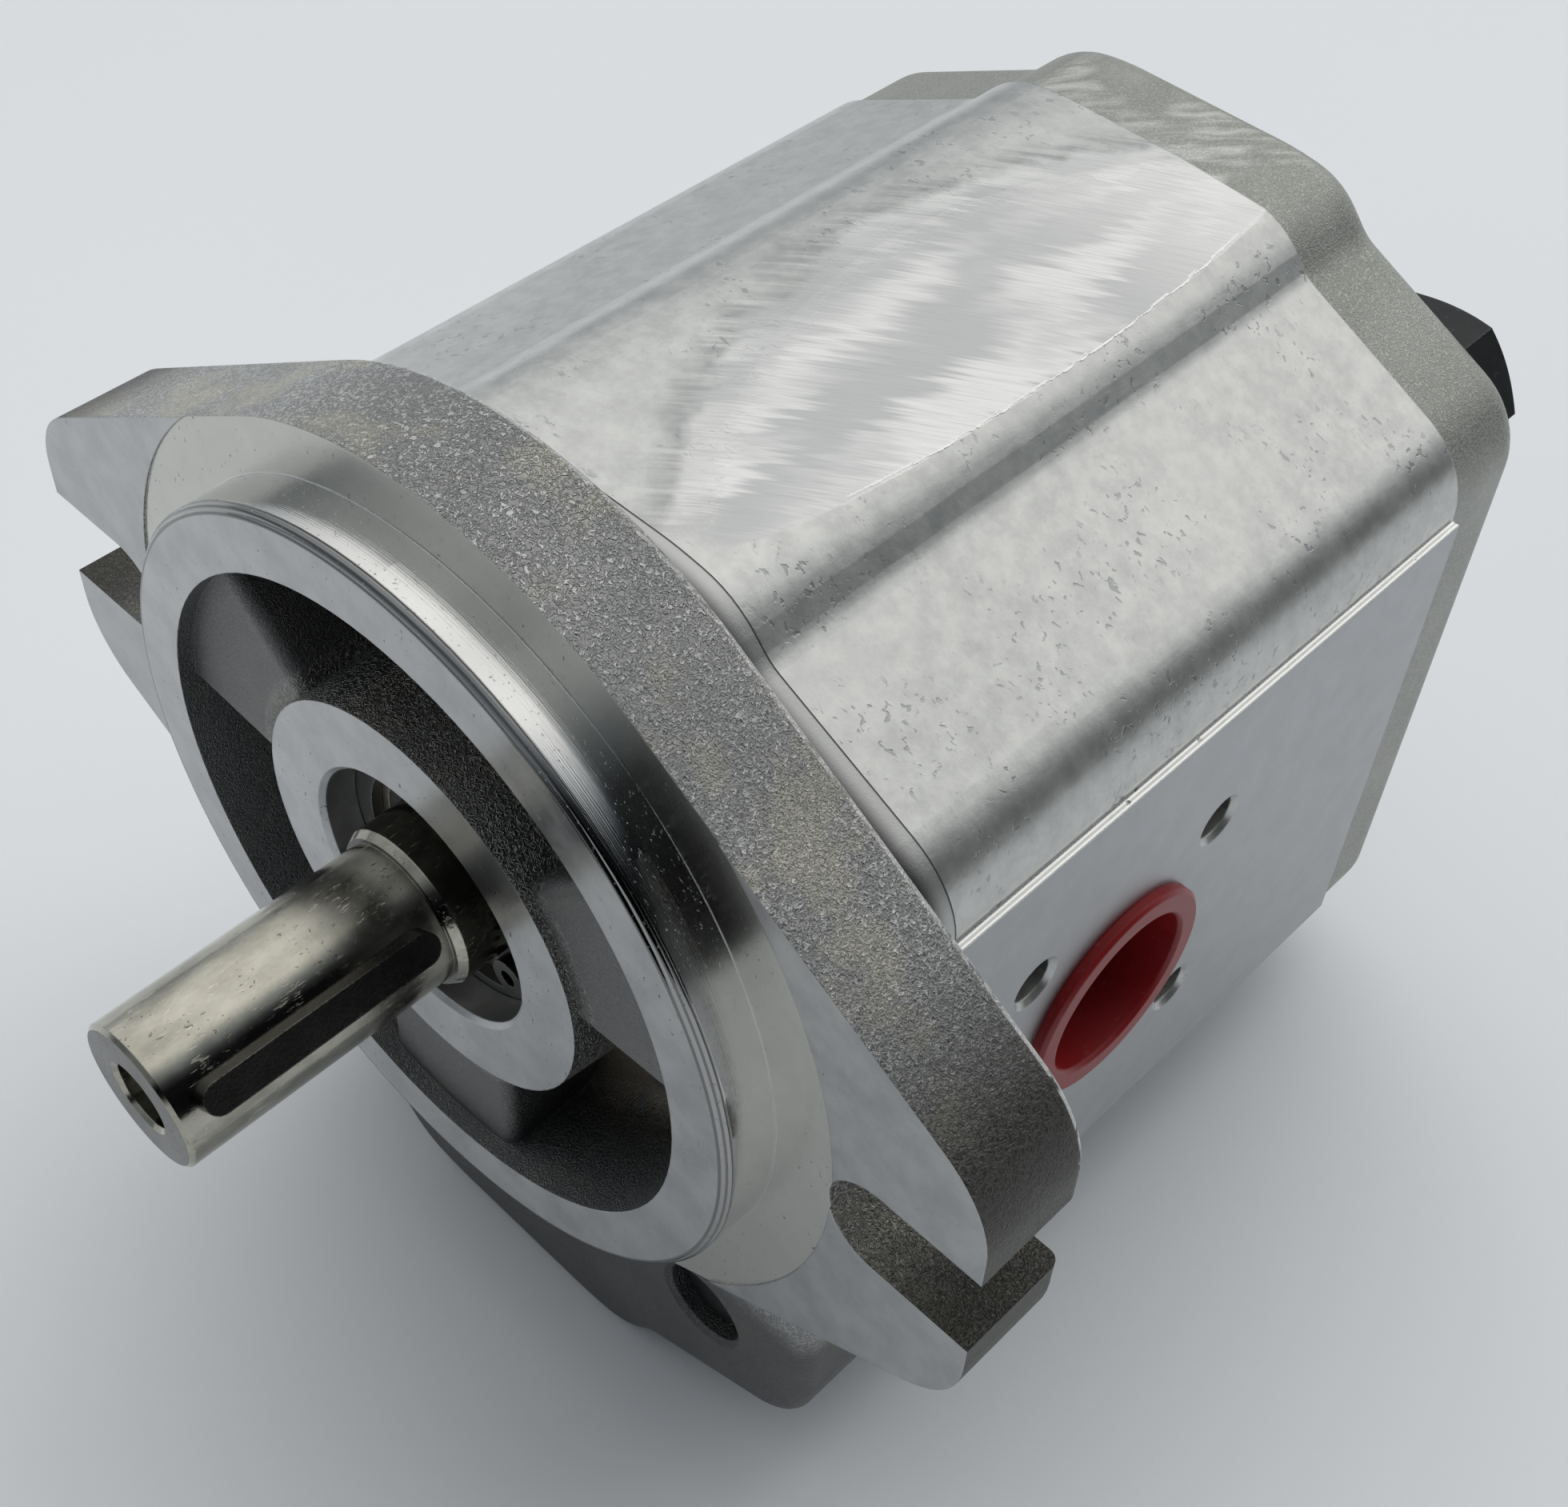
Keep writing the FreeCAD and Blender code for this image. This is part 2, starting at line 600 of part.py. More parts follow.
def drive_gear():
    shaft = turned([
        (0, SHAFT_END_Y),
        (SHAFT_R - SHAFT_CHAMFER, SHAFT_END_Y),
        (SHAFT_R, SHAFT_END_Y + SHAFT_CHAMFER),
        (SHAFT_R, SHOULDER_Y),
        (SEAL_JOURNAL_R - 0.5, SHOULDER_Y),
        (SEAL_JOURNAL_R, SHOULDER_Y + SEAL_LEAD),
        (SEAL_JOURNAL_R, SEAL_JOURNAL_END_Y),
        (JOURNAL_R, SEAL_JOURNAL_END_Y + JOURNAL_CHAMFER),
        (JOURNAL_R, JOURNAL_END_Y - JOURNAL_CHAMFER),
        (JOURNAL_R - JOURNAL_CHAMFER, JOURNAL_END_Y),
        (0, JOURNAL_END_Y),
    ])
    shape = shaft.fuse(gear_rim(-math.pi / 2, 0))
    shape = shape.cut(key_shape())
    shape = shape.cut(cyl(SHAFT_THREAD_R, SHAFT_END_Y - 1, SHAFT_END_Y + SHAFT_THREAD_DEPTH))
    shape = shape.cut(cone(SHAFT_THREAD_R + SHAFT_CHAMFER, SHAFT_THREAD_R,
                           SHAFT_END_Y, SHAFT_END_Y + SHAFT_CHAMFER))
    return shape.removeSplitter()


def driven_gear():
    small_r = JOURNAL_R - JOURNAL_CHAMFER
    journals = turned([
        (DRIVEN_BORE_R, DRIVEN_FRONT_Y),
        (small_r, DRIVEN_FRONT_Y),
        (JOURNAL_R, DRIVEN_FRONT_Y + JOURNAL_CHAMFER),
        (JOURNAL_R, JOURNAL_END_Y - JOURNAL_CHAMFER),
        (small_r, JOURNAL_END_Y),
        (DRIVEN_BORE_R, JOURNAL_END_Y),
    ], 0, DRIVEN_Z)
    half_pitch = math.pi / TEETH
    rim = gear_rim(math.pi / 2 + half_pitch, DRIVEN_Z)
    rim = rim.cut(cyl(DRIVEN_BORE_R, GEAR_FRONT_Y - 1, GEAR_REAR_Y + 1, 0, DRIVEN_Z))
    return journals.fuse(rim).removeSplitter()


# ------------------------------------------------------------- shaft seal
def seal_case():
    """Pressed steel case, L-shaped in section, open toward the oil side."""
    return turned([
        (SEAL_CASE_INNER_R, SEAL_FRONT_Y),
        (SEAL_BORE_R, SEAL_FRONT_Y),
        (SEAL_BORE_R, SEAL_REAR_Y),
        (SEAL_BORE_R - SEAL_WALL, SEAL_REAR_Y),
        (SEAL_BORE_R - SEAL_WALL, SEAL_FRONT_Y + SEAL_WALL),
        (SEAL_CASE_INNER_R, SEAL_FRONT_Y + SEAL_WALL),
    ])


def seal_lip():
    """Rubber lip and dust lip bonded to the inner edge of the case."""
    touch = SEAL_JOURNAL_R + LIP_CLEARANCE
    back = touch + 0.7          # inner side of the rubber between the two lips
    root = SEAL_CASE_INNER_R
    y = SEAL_FRONT_Y
    shape = turned([
        (touch, y + 0.5),
        (touch + 0.5, y + 0.1),
        (root, y),
        (root, y + SEAL_WALL),
        (root + 1.6, y + SEAL_WALL),
        (root + 1.6, y + 1.7),
        (root - 0.2, y + 1.9),
        (root - 0.3, y + 4.0),
        (root + 0.7, y + 4.4),
        (root + 0.7, y + 6.4),
        (touch + 0.6, y + 6.6),
        (touch, y + 5.0),
        (back, y + 3.2),
        (back, y + 1.3),
    ])
    return shape.cut(garter_spring())


def garter_spring():
    return Part.makeTorus(GARTER_MAJOR_R, GARTER_WIRE_R, Vec(0, GARTER_Y, 0), AXIS)


def retaining_ring():
    """Internal ring, wider opposite its gap, with two pierced lugs."""
    y0, y1 = RING_FRONT_Y, RING_BACK_Y
    rim = cyl(RING_OUTER_R, y0, y1)
    ring = rim.cut(cyl(RING_INNER_R, y0 - 1, y1 + 1,
                       RING_ECCENTRIC * math.cos(RING_GAP_ANGLE),
                       RING_ECCENTRIC * math.sin(RING_GAP_ANGLE)))
    gap = box(0, 2 * RING_OUTER_R, y0 - 1, y1 + 1, -RING_GAP / 2, RING_GAP / 2)
    gap.rotate(Vec(0, 0, 0), AXIS, -math.degrees(RING_GAP_ANGLE))
    ring = ring.cut(gap)
    for side in (-1, 1):
        angle = RING_GAP_ANGLE + side * RING_LUG_SPREAD
        x = RING_LUG_PLACE_R * math.cos(angle)
        z = RING_LUG_PLACE_R * math.sin(angle)
        ring = ring.fuse(cyl(RING_LUG_R, y0, y1, x, z))
        ring = ring.cut(cyl(RING_LUG_HOLE_R, y0 - 1, y1 + 1, x, z))
    return ring.common(rim).removeSplitter()


# ------------------------------------------------------------- fasteners
def hexagon(flats, turn, y0, y1, x, z):
    radius = flats / math.sqrt(3)
    points = []
    for k in range(6):
        angle = math.radians(60 * k + turn)
        points.append(Vec(x + radius * math.cos(angle), y0, z + radius * math.sin(angle)))
    return Part.Face(Part.makePolygon(points + points[:1])).extrude(Vec(0, y1 - y0, 0))


def body_bolt(x, z, turn):
    """Long hexagon-head bolt whose head sits in a spot face of the cover."""
    seat = COVER_REAR_Y - SPOT_FACE_DEPTH
    top = seat + BOLT_HEAD_HEIGHT
    crown_y = top - BOLT_CROWN_HEIGHT
    half_flats = BOLT_HEAD_FLATS / 2
    blank_r = half_flats + 3.2
    head = hexagon(BOLT_HEAD_FLATS, turn, seat, top, x, z)
    crown = cone(blank_r, half_flats - 0.6, crown_y, top, x, z)
    head = head.common(cyl(blank_r, seat, crown_y, x, z).fuse(crown))
    shank_y = BOLT_TIP_Y + BOLT_TIP_CHAMFER
    shank = cyl(BOLT_R, shank_y, seat, x, z)
    tip = cone(BOLT_R - BOLT_TIP_CHAMFER, BOLT_R, BOLT_TIP_Y, shank_y, x, z)
    return head.fuse([shank, tip]).removeSplitter()


def body_bolts():
    return [body_bolt(x, z, turn) for (x, z), turn in zip(bolt_places(), BOLT_HEAD_TURNS)]


def dowels(joint_y):
    return [cyl(DOWEL_R, joint_y - DOWEL_HALF, joint_y + DOWEL_HALF, x, z)
            for x, z in dowel_places()]


# ------------------------------------------------------------- port plugs
def port_plug(side, bore_r, rim_r):
    """Thin moulded plug: rim on the port face, tapered cup inside the bore."""
    outer = bore_r - 0.05
    inner = outer - PLUG_WALL
    floor_x = PLUG_WALL - PLUG_DEPTH
    profile = [
        (0, -PLUG_DEPTH),
        (outer - 0.8, -PLUG_DEPTH),
        (outer - 0.1, 2.0 - PLUG_DEPTH),
        (outer, 0.0),
        (rim_r, 0.0),
        (rim_r, PLUG_PROUD - 0.4),
        (rim_r - 0.4, PLUG_PROUD),
        (inner + 0.7, PLUG_PROUD),
        (inner + 0.4, PLUG_PROUD - 0.4),
        (inner - 0.1, floor_x),
        (0, floor_x),
    ]
    corners = [(r, side * (PAD_X + x)) for r, x in profile]
    return turned_x(corners, PORT_Y, PORT_Z)


# ------------------------------------------------------------- all the nodes
def build_parts():
    front_block_y = (BODY_FRONT_Y + BLOCK_GAP, GEAR_FRONT_Y - BLOCK_GAP)
    rear_block_y = (GEAR_REAR_Y + BLOCK_GAP, BODY_REAR_Y - BLOCK_GAP)
    front_groove = (front_block_y[0] - 1, front_block_y[0] + BALANCE_DEPTH)
    rear_groove = (rear_block_y[1] - BALANCE_DEPTH, rear_block_y[1] + 1)
    front_split = front_block_y[0] + BACKUP_THICK
    rear_split = rear_block_y[1] - BACKUP_THICK
    front_bush_y = front_block_y[1] - BUSH_LENGTH - BUSH_SETBACK
    rear_bush_y = rear_block_y[0] + BUSH_SETBACK
    return {
        "mounting_flange": mounting_flange(),
        "pump_body": pump_body(),
        "rear_cover": rear_cover(),
        "front_bearing_block": bearing_block(*front_block_y, *front_groove),
        "rear_bearing_block": bearing_block(*rear_block_y, *rear_groove),
        "front_drive_bush": bush(front_bush_y, 0),
        "front_driven_bush": bush(front_bush_y, DRIVEN_Z),
        "rear_drive_bush": bush(rear_bush_y, 0),
        "rear_driven_bush": bush(rear_bush_y, DRIVEN_Z),
        "drive_gear_shaft": drive_gear(),
        "driven_gear_shaft": driven_gear(),
        "shaft_key": key_shape(),
        "shaft_seal_case": seal_case(),
        "shaft_seal_lip": seal_lip(),
        "seal_garter_spring": garter_spring(),
        "seal_retaining_ring": retaining_ring(),
        "front_body_seal": body_seal(BODY_FRONT_Y, BODY_FRONT_Y + BODY_SEAL_DEPTH),
        "rear_body_seal": body_seal(BODY_REAR_Y - BODY_SEAL_DEPTH, BODY_REAR_Y),
        "front_balance_seal": balance_band(front_split, front_groove[1]),
        "rear_balance_seal": balance_band(rear_groove[0], rear_split),
        "front_backup_ring": balance_band(front_block_y[0], front_split),
        "rear_backup_ring": balance_band(rear_split, rear_block_y[1]),
        "front_dowel_pins": Part.makeCompound(dowels(BODY_FRONT_Y)),
        "rear_dowel_pins": Part.makeCompound(dowels(BODY_REAR_Y)),
        "body_bolts": Part.makeCompound(body_bolts()),
        "inlet_port_plug": port_plug(1, INLET_R, INLET_RIM_R),
        "outlet_port_plug": port_plug(-1, OUTLET_R, OUTLET_RIM_R),
    }


os.makedirs("parts", exist_ok=True)
for name, shape in build_parts().items():
    solids = len(shape.Solids)
    print(name, "solids", solids, "volume", round(shape.Volume, 1), "valid", shape.isValid())
    shape.exportStep(os.path.join("parts", name + ".step"))
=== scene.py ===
import json
import math
import random
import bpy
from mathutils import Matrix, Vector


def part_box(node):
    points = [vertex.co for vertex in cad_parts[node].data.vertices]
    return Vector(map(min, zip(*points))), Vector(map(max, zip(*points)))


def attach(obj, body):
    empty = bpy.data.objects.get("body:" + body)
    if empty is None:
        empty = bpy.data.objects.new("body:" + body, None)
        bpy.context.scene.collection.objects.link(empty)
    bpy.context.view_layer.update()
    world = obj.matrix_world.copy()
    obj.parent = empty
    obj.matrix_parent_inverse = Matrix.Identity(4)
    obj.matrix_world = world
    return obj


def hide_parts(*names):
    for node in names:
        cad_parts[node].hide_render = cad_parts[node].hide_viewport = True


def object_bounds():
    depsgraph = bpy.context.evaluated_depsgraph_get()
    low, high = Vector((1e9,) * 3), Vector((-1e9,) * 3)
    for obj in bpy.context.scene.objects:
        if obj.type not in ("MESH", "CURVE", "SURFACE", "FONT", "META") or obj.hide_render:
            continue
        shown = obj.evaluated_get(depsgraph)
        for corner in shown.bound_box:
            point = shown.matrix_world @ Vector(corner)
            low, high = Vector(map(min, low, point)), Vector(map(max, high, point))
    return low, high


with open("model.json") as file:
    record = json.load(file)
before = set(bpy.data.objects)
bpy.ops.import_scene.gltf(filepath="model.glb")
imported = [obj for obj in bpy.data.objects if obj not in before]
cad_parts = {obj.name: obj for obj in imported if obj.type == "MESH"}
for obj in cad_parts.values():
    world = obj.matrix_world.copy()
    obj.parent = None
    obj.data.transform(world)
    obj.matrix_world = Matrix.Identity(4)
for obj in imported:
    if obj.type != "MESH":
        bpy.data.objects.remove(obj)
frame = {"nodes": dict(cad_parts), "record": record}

from types import SimpleNamespace

import bmesh
import bpy
from mathutils import Matrix, Vector

# External gear pump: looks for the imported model. The row frame is used throughout:
# drive shaft along Y with its free end toward -Y, ports on +X and -X, +Z up.
# Blender works in metres; every length below is in millimetres unless it says so.

CAD_LOW, CAD_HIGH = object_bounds()
NODES = frame["nodes"]
RECORD = frame["record"]
MM = 0.001

# levels of the flange casting along Y, and its turned radii
PILOT_FACE_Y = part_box("mounting_flange")[0].y / MM
HUB_FACE_Y = -4.9
SEAL_BORE_END_Y = 7.5
EAR_BACK_Y = 12.2
BODY_FRONT_Y = 17.4         # joint between flange casting and body
COVER_REAR_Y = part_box("rear_cover")[1].y / MM
PILOT_R = 41.275
POCKET_R = 35.0
HUB_R = 21.45
SEAL_BORE_R = 14.0
TURNED_RING_R = 48.0        # shallow ring turned into the face round the pilot

# patch ground on top of the body: a very large cylinder, deeper toward +X
TOP_Z = 37.6
GROUND_START_X = -6.0
GROUND_MIDDLE_Y = 61.0
GROUND_SLOPE = math.tan(math.radians(3.5))
GROUND_CURVE_R = 820.3
EDGE_CENTRE_X = 12.63       # the lobe's edge is an arc about this line
EDGE_CENTRE_Z = 27.30
EDGE_R = 10.0
BURR_START_Y = 33.0
BURR_END_Y = 89.0
BURR_PITCH = 0.16

# port faces
PAD_X = 45.0
PAD_TOP_Z = 14.5
BODY_MIDDLE_Z = -17.0

# threads: pitch, depth of the ridge, length
PORT_THREAD = (1.0, 0.26, 10.0)
SHAFT_THREAD = (1.25, 0.28, 14.0)
SHAFT_MOUTH_DEPTH = 2.6     # plain mouth in front of the shaft's thread

# garter spring
SPRING_WIRE_R = 0.14
SPRING_TURNS = 170

# what the camera sees behind the floor
BACKDROP = (0.60, 0.64, 0.67)

# Sky brightness against the angle from +X over the top toward -X, in degrees. A new
# colour ramp already has two stops, so the first and the last level come first.
SKY_PEAK = 1.25
SKY_LEVELS = [(0, 0.006), (360, 0.006), (43, 0.006), (52, 0.06), (65, 0.37), (80, 0.97),
              (87, 1.0), (100, 0.84), (118, 1.00), (136, 0.94), (153, 0.80), (170, 0.54),
              (190, 0.24), (300, 0.04)]
SKY_BACK_SHIFT = 28.0       # degrees by which the sky's pattern leans over toward +Y

# camera: unit vectors, and its place in millimetres
CAMERA_RIGHT = Vector((0.71515, 0.69794, 0.03796))
CAMERA_DOWN = Vector((0.54163, -0.51902, -0.66126))
CAMERA_AHEAD = Vector((-0.44181, 0.49346, -0.74920))
CAMERA_PLACE = Vector((106.03, -73.89, 161.53))
SENSOR_WIDTH = 36.0
LENS = 50.23


# ---------------------------------------------------------------- node helpers
class Nodes:
    """Short names for the node kinds that the materials and the world use."""

    def __init__(self, tree):
        self.nodes = tree.nodes
        self.links = tree.links

    def add(self, kind):
        return self.nodes.new(kind)

    def plug(self, value, socket):
        if isinstance(value, bpy.types.NodeSocket):
            self.links.new(value, socket)
        elif isinstance(value, (tuple, list)) and socket.type == "RGBA":
            socket.default_value = tuple(value)[:3] + (1.0,)
        else:
            socket.default_value = value

    def math(self, operation, a, b=0.0):
        node = self.add("ShaderNodeMath")
        node.operation = operation
        self.plug(a, node.inputs[0])
        self.plug(b, node.inputs[1])
        return node.outputs[0]

    def plus(self, *values):
        total = values[0]
        for value in values[1:]:
            total = self.math("ADD", total, value)
        return total

    def times(self, *values):
        product = values[0]
        for value in values[1:]:
            product = self.math("MULTIPLY", product, value)
        return product

    def either(self, *masks):
        result = masks[0]
        for mask in masks[1:]:
            result = self.math("MAXIMUM", result, mask)
        return result

    def invert(self, mask):
        return self.math("SUBTRACT", 1.0, mask)

    def vector(self, operation, a, b):
        node = self.add("ShaderNodeVectorMath")
        node.operation = operation
        self.plug(a, node.inputs[0])
        self.plug(b, node.inputs[1])
        return node.outputs[0]

    def joined(self, x, y, z):
        node = self.add("ShaderNodeCombineXYZ")
        for value, socket in zip((x, y, z), node.inputs):
            self.plug(value, socket)
        return node.outputs[0]

    def split(self, vector):
        node = self.add("ShaderNodeSeparateXYZ")
        self.plug(vector, node.inputs[0])
        return node.outputs

    def step(self, value, low, high, to_low=0.0, to_high=1.0):
        """Smooth ramp from to_low at value low to to_high at value high."""
        node = self.add("ShaderNodeMapRange")
        node.interpolation_type = "SMOOTHSTEP"
        for item, socket in zip((value, low, high, to_low, to_high), node.inputs):
            self.plug(item, socket)
        return node.outputs[0]

    def between(self, value, low, high, soft=0.05):
        return self.times(self.step(value, low - soft, low + soft),
                          self.step(value, high + soft, high - soft))

    def mix(self, factor, a, b):
        """Colour mix."""
        node = self.add("ShaderNodeMix")
        node.data_type = "RGBA"
        self.plug(factor, node.inputs["Factor"])
        self.plug(a, node.inputs[6])
        self.plug(b, node.inputs[7])
        return node.outputs[2]

    def blend(self, factor, a, b):
        """Value mix."""
        node = self.add("ShaderNodeMix")
        self.plug(factor, node.inputs["Factor"])
        self.plug(a, node.inputs[2])
        self.plug(b, node.inputs[3])
        return node.outputs[0]


class Shader(Nodes):
    """Builds one material's nodes. Positions are in millimetres in the row frame."""

    def __init__(self, name):
        self.material = bpy.data.materials.new(name)
        self.material.use_nodes = True
        super().__init__(self.material.node_tree)
        self.bsdf = self.nodes["Principled BSDF"]
        place = self.add("ShaderNodeTexCoord").outputs["Object"]
        self.mm = self.vector("MULTIPLY", place, (1 / MM, 1 / MM, 1 / MM))
        self.x, self.y, self.z = self.split(self.mm)
        facing = self.add("ShaderNodeNewGeometry").outputs["True Normal"]
        self.nx, self.ny, self.nz = self.split(facing)

    def noise(self, size, detail=2.0, roughness=0.5, stretch=(1, 1, 1), place=None, warp=0.0):
        """Noise whose features are about size millimetres, longer along a stretched axis."""
        node = self.add("ShaderNodeTexNoise")
        scaled = self.vector("DIVIDE", place or self.mm, [size * s for s in stretch])
        self.plug(scaled, node.inputs["Vector"])
        node.inputs["Scale"].default_value = 1.0
        node.inputs["Detail"].default_value = detail
        node.inputs["Roughness"].default_value = roughness
        node.inputs["Distortion"].default_value = warp
        return node.outputs["Fac"]

    def cells(self, size, stretch=(1, 1, 1)):
        """Distance to the nearest of points scattered about size millimetres apart."""
        node = self.add("ShaderNodeTexVoronoi")
        scaled = self.vector("DIVIDE", self.mm, [size * s for s in stretch])
        self.plug(scaled, node.inputs["Vector"])
        node.inputs["Scale"].default_value = 1.0
        return node.outputs["Distance"]

    def radius(self):
        """Distance from the drive shaft's axis."""
        return self.math("SQRT", self.plus(self.times(self.x, self.x), self.times(self.z, self.z)))

    def turned_place(self, angle):
        """Position turned about Z, so that its first axis lies at angle from +X."""
        c, s = math.cos(angle), math.sin(angle)
        along = self.plus(self.times(self.x, c), self.times(self.y, s))
        across = self.plus(self.times(self.x, -s), self.times(self.y, c))
        return along, across

    def bump(self, height, depth, normal=None):
        """Bump from a 0 to 1 height that stands for depth millimetres."""
        node = self.add("ShaderNodeBump")
        node.inputs["Strength"].default_value = 1.0
        node.inputs["Distance"].default_value = depth * MM
        self.plug(height, node.inputs["Height"])
        if normal is not None:
            self.plug(normal, node.inputs["Normal"])
        return node.outputs[0]

    def soft_edges(self, radius):
        """Normal that rounds sharp edges over radius millimetres."""
        node = self.add("ShaderNodeBevel")
        node.samples = 4
        node.inputs["Radius"].default_value = radius * MM
        return node.outputs[0]

    def outer_edge_mask(self, radius):
        """Mask that is 1 along outer edges, from how far the rounded normal leans."""
        node = self.add("ShaderNodeVectorMath")
        node.operation = "DOT_PRODUCT"
        self.plug(self.soft_edges(radius), node.inputs[0])
        self.plug(self.add("ShaderNodeNewGeometry").outputs["True Normal"], node.inputs[1])
        return self.step(node.outputs["Value"], 0.995, 0.90)

    def round_tangent(self):
        """Tangent for turned surfaces about an axis along Y."""
        node = self.add("ShaderNodeTangent")
        node.direction_type = "RADIAL"
        node.axis = "Y"
        return node.outputs[0]

    def finish(self, colour, roughness, normal=None, metallic=1.0, **extra):
        self.plug(colour, self.bsdf.inputs["Base Color"])
        self.plug(roughness, self.bsdf.inputs["Roughness"])
        self.plug(metallic, self.bsdf.inputs["Metallic"])
        if normal is not None:
            self.plug(normal, self.bsdf.inputs["Normal"])
        for name, value in extra.items():
            self.plug(value, self.bsdf.inputs[name.replace("_", " ")])
        return self.material


# ---------------------------------------------------------------- materials
def cast_grain(s, size):
    """Height of a sand-cast skin: thin wandering ridges with finer sand between them."""
    level = s.math("ABSOLUTE", s.math("SUBTRACT", s.noise(size, 1.5, 0.5, warp=0.7), 0.5))
    sand = s.noise(size * 0.45, 2.0, 0.6)
    return s.plus(s.times(s.step(level, 0.11, 0.0), 0.6), s.times(sand, 0.4))


def flange_regions(s):
    """Masks of the flange casting's turned surfaces and of its kinds of cast skin."""
    m = SimpleNamespace(r=s.radius())
    front = s.step(s.ny, -0.8, -0.95)
    at_face = s.either(s.between(s.y, -0.3, 0.5), s.step(s.y, HUB_FACE_Y + 0.4, HUB_FACE_Y + 0.2))
    m.on_face = s.times(front, at_face)
    m.spigot = s.times(s.step(m.r, PILOT_R - 1.0, PILOT_R - 0.8),
                       s.step(m.r, PILOT_R + 0.3, PILOT_R + 0.1), s.step(s.y, 0.25, 0.15))
    bore = s.times(s.step(m.r, SEAL_BORE_R + 1.0, SEAL_BORE_R + 0.9),
                   s.step(s.y, SEAL_BORE_END_Y + 0.3, SEAL_BORE_END_Y + 0.1))
    m.turned = s.either(m.on_face, m.spigot, bore)
    m.recess = s.times(m.on_face, s.between(m.r, PILOT_R, TURNED_RING_R, 0.15), s.step(s.y, 0.08, 0.16))

    m.ears = s.step(s.math("ABSOLUTE", s.x), 46, 62)
    m.inside = s.step(m.r, POCKET_R + 0.8, POCKET_R + 0.2)
    m.hub_wall = s.times(m.inside, s.step(m.r, HUB_R + 2.6, HUB_R + 1.2))
    m.cavity = s.times(m.inside, s.invert(m.hub_wall))
    m.low_block = s.times(s.step(s.y, 2.6, 2.9), s.step(s.z, -36, -42))
    m.neck = s.times(s.step(s.y, EAR_BACK_Y + 0.1, EAR_BACK_Y + 0.2), s.step(s.z, -25, -15))
    # how far the skin is from the rim's coarse grain
    m.calm = s.either(s.times(m.ears, 0.5), s.times(m.cavity, 0.92), s.times(m.low_block, 0.72), m.neck)
    return m


def flange_skin(s, m, grain):
    """Colour of the cast skin: sand and soot stains, with painted shade in the pocket, on the ears, on
    the low block and on the neck.
    """
    sand = s.step(s.noise(10, 3.0, 0.6), 0.50, 0.66)
    soot = s.step(s.noise(15, 3.0, 0.55), 0.42, 0.62)
    # the grain's hollows are painted darker and its ridges lighter: painted shade and highlight of the
    # relief
    skin = s.mix(s.step(grain, 0.25, 0.75), (0.30, 0.30, 0.295), (0.60, 0.60, 0.59))
    skin = s.mix(s.times(sand, 0.45), skin, (0.62, 0.59, 0.47))
    skin = s.mix(s.times(soot, 0.3), skin, (0.27, 0.27, 0.28))
    # painted shade: the pocket and the hub wall inside it are painted dark
    skin = s.mix(s.times(m.cavity, 0.8), skin, (0.14, 0.14, 0.145))
    skin = s.mix(s.times(m.hub_wall, 0.6), skin, (0.14, 0.138, 0.125))
    # painted shade: the ears are painted near-black
    skin = s.mix(s.times(m.ears, 0.9), skin, (0.06, 0.058, 0.052))
    # painted shade: the low block at the bottom of the flange is painted dark
    skin = s.mix(s.times(m.low_block, 0.8), skin, (0.08, 0.082, 0.085))

    # neck behind the ears: painted shadow next to the rim, and a dark line at the joint
    neck = s.mix(s.step(s.y, EAR_BACK_Y + 2.4, EAR_BACK_Y + 4.6),
                 (0.05, 0.05, 0.05), (0.54, 0.545, 0.535))
    neck = s.mix(s.step(s.y, BODY_FRONT_Y - 0.25, BODY_FRONT_Y - 0.1), neck, (0.08, 0.08, 0.08))
    skin = s.mix(s.times(m.neck, 0.95), skin, neck)

    tan = s.times(m.inside, s.step(s.y, 2.0, 6.5), s.step(s.noise(6, 2.0), 0.35, 0.6))
    skin = s.mix(s.times(tan, 0.6), skin, (0.36, 0.31, 0.24))
    # thin bright edge on the back of the flange: partly a machined burr, partly a painted highlight
    edge = s.times(s.between(s.ny, 0.3, 0.8, 0.1), s.step(m.r, 46.0, 46.5), s.step(s.y, 11.0, 11.3))
    edge = s.times(edge, s.step(s.noise(1.6, 3.0, 0.6), 0.36, 0.5))
    return s.mix(s.times(edge, 0.8), skin, (0.80, 0.80, 0.78))


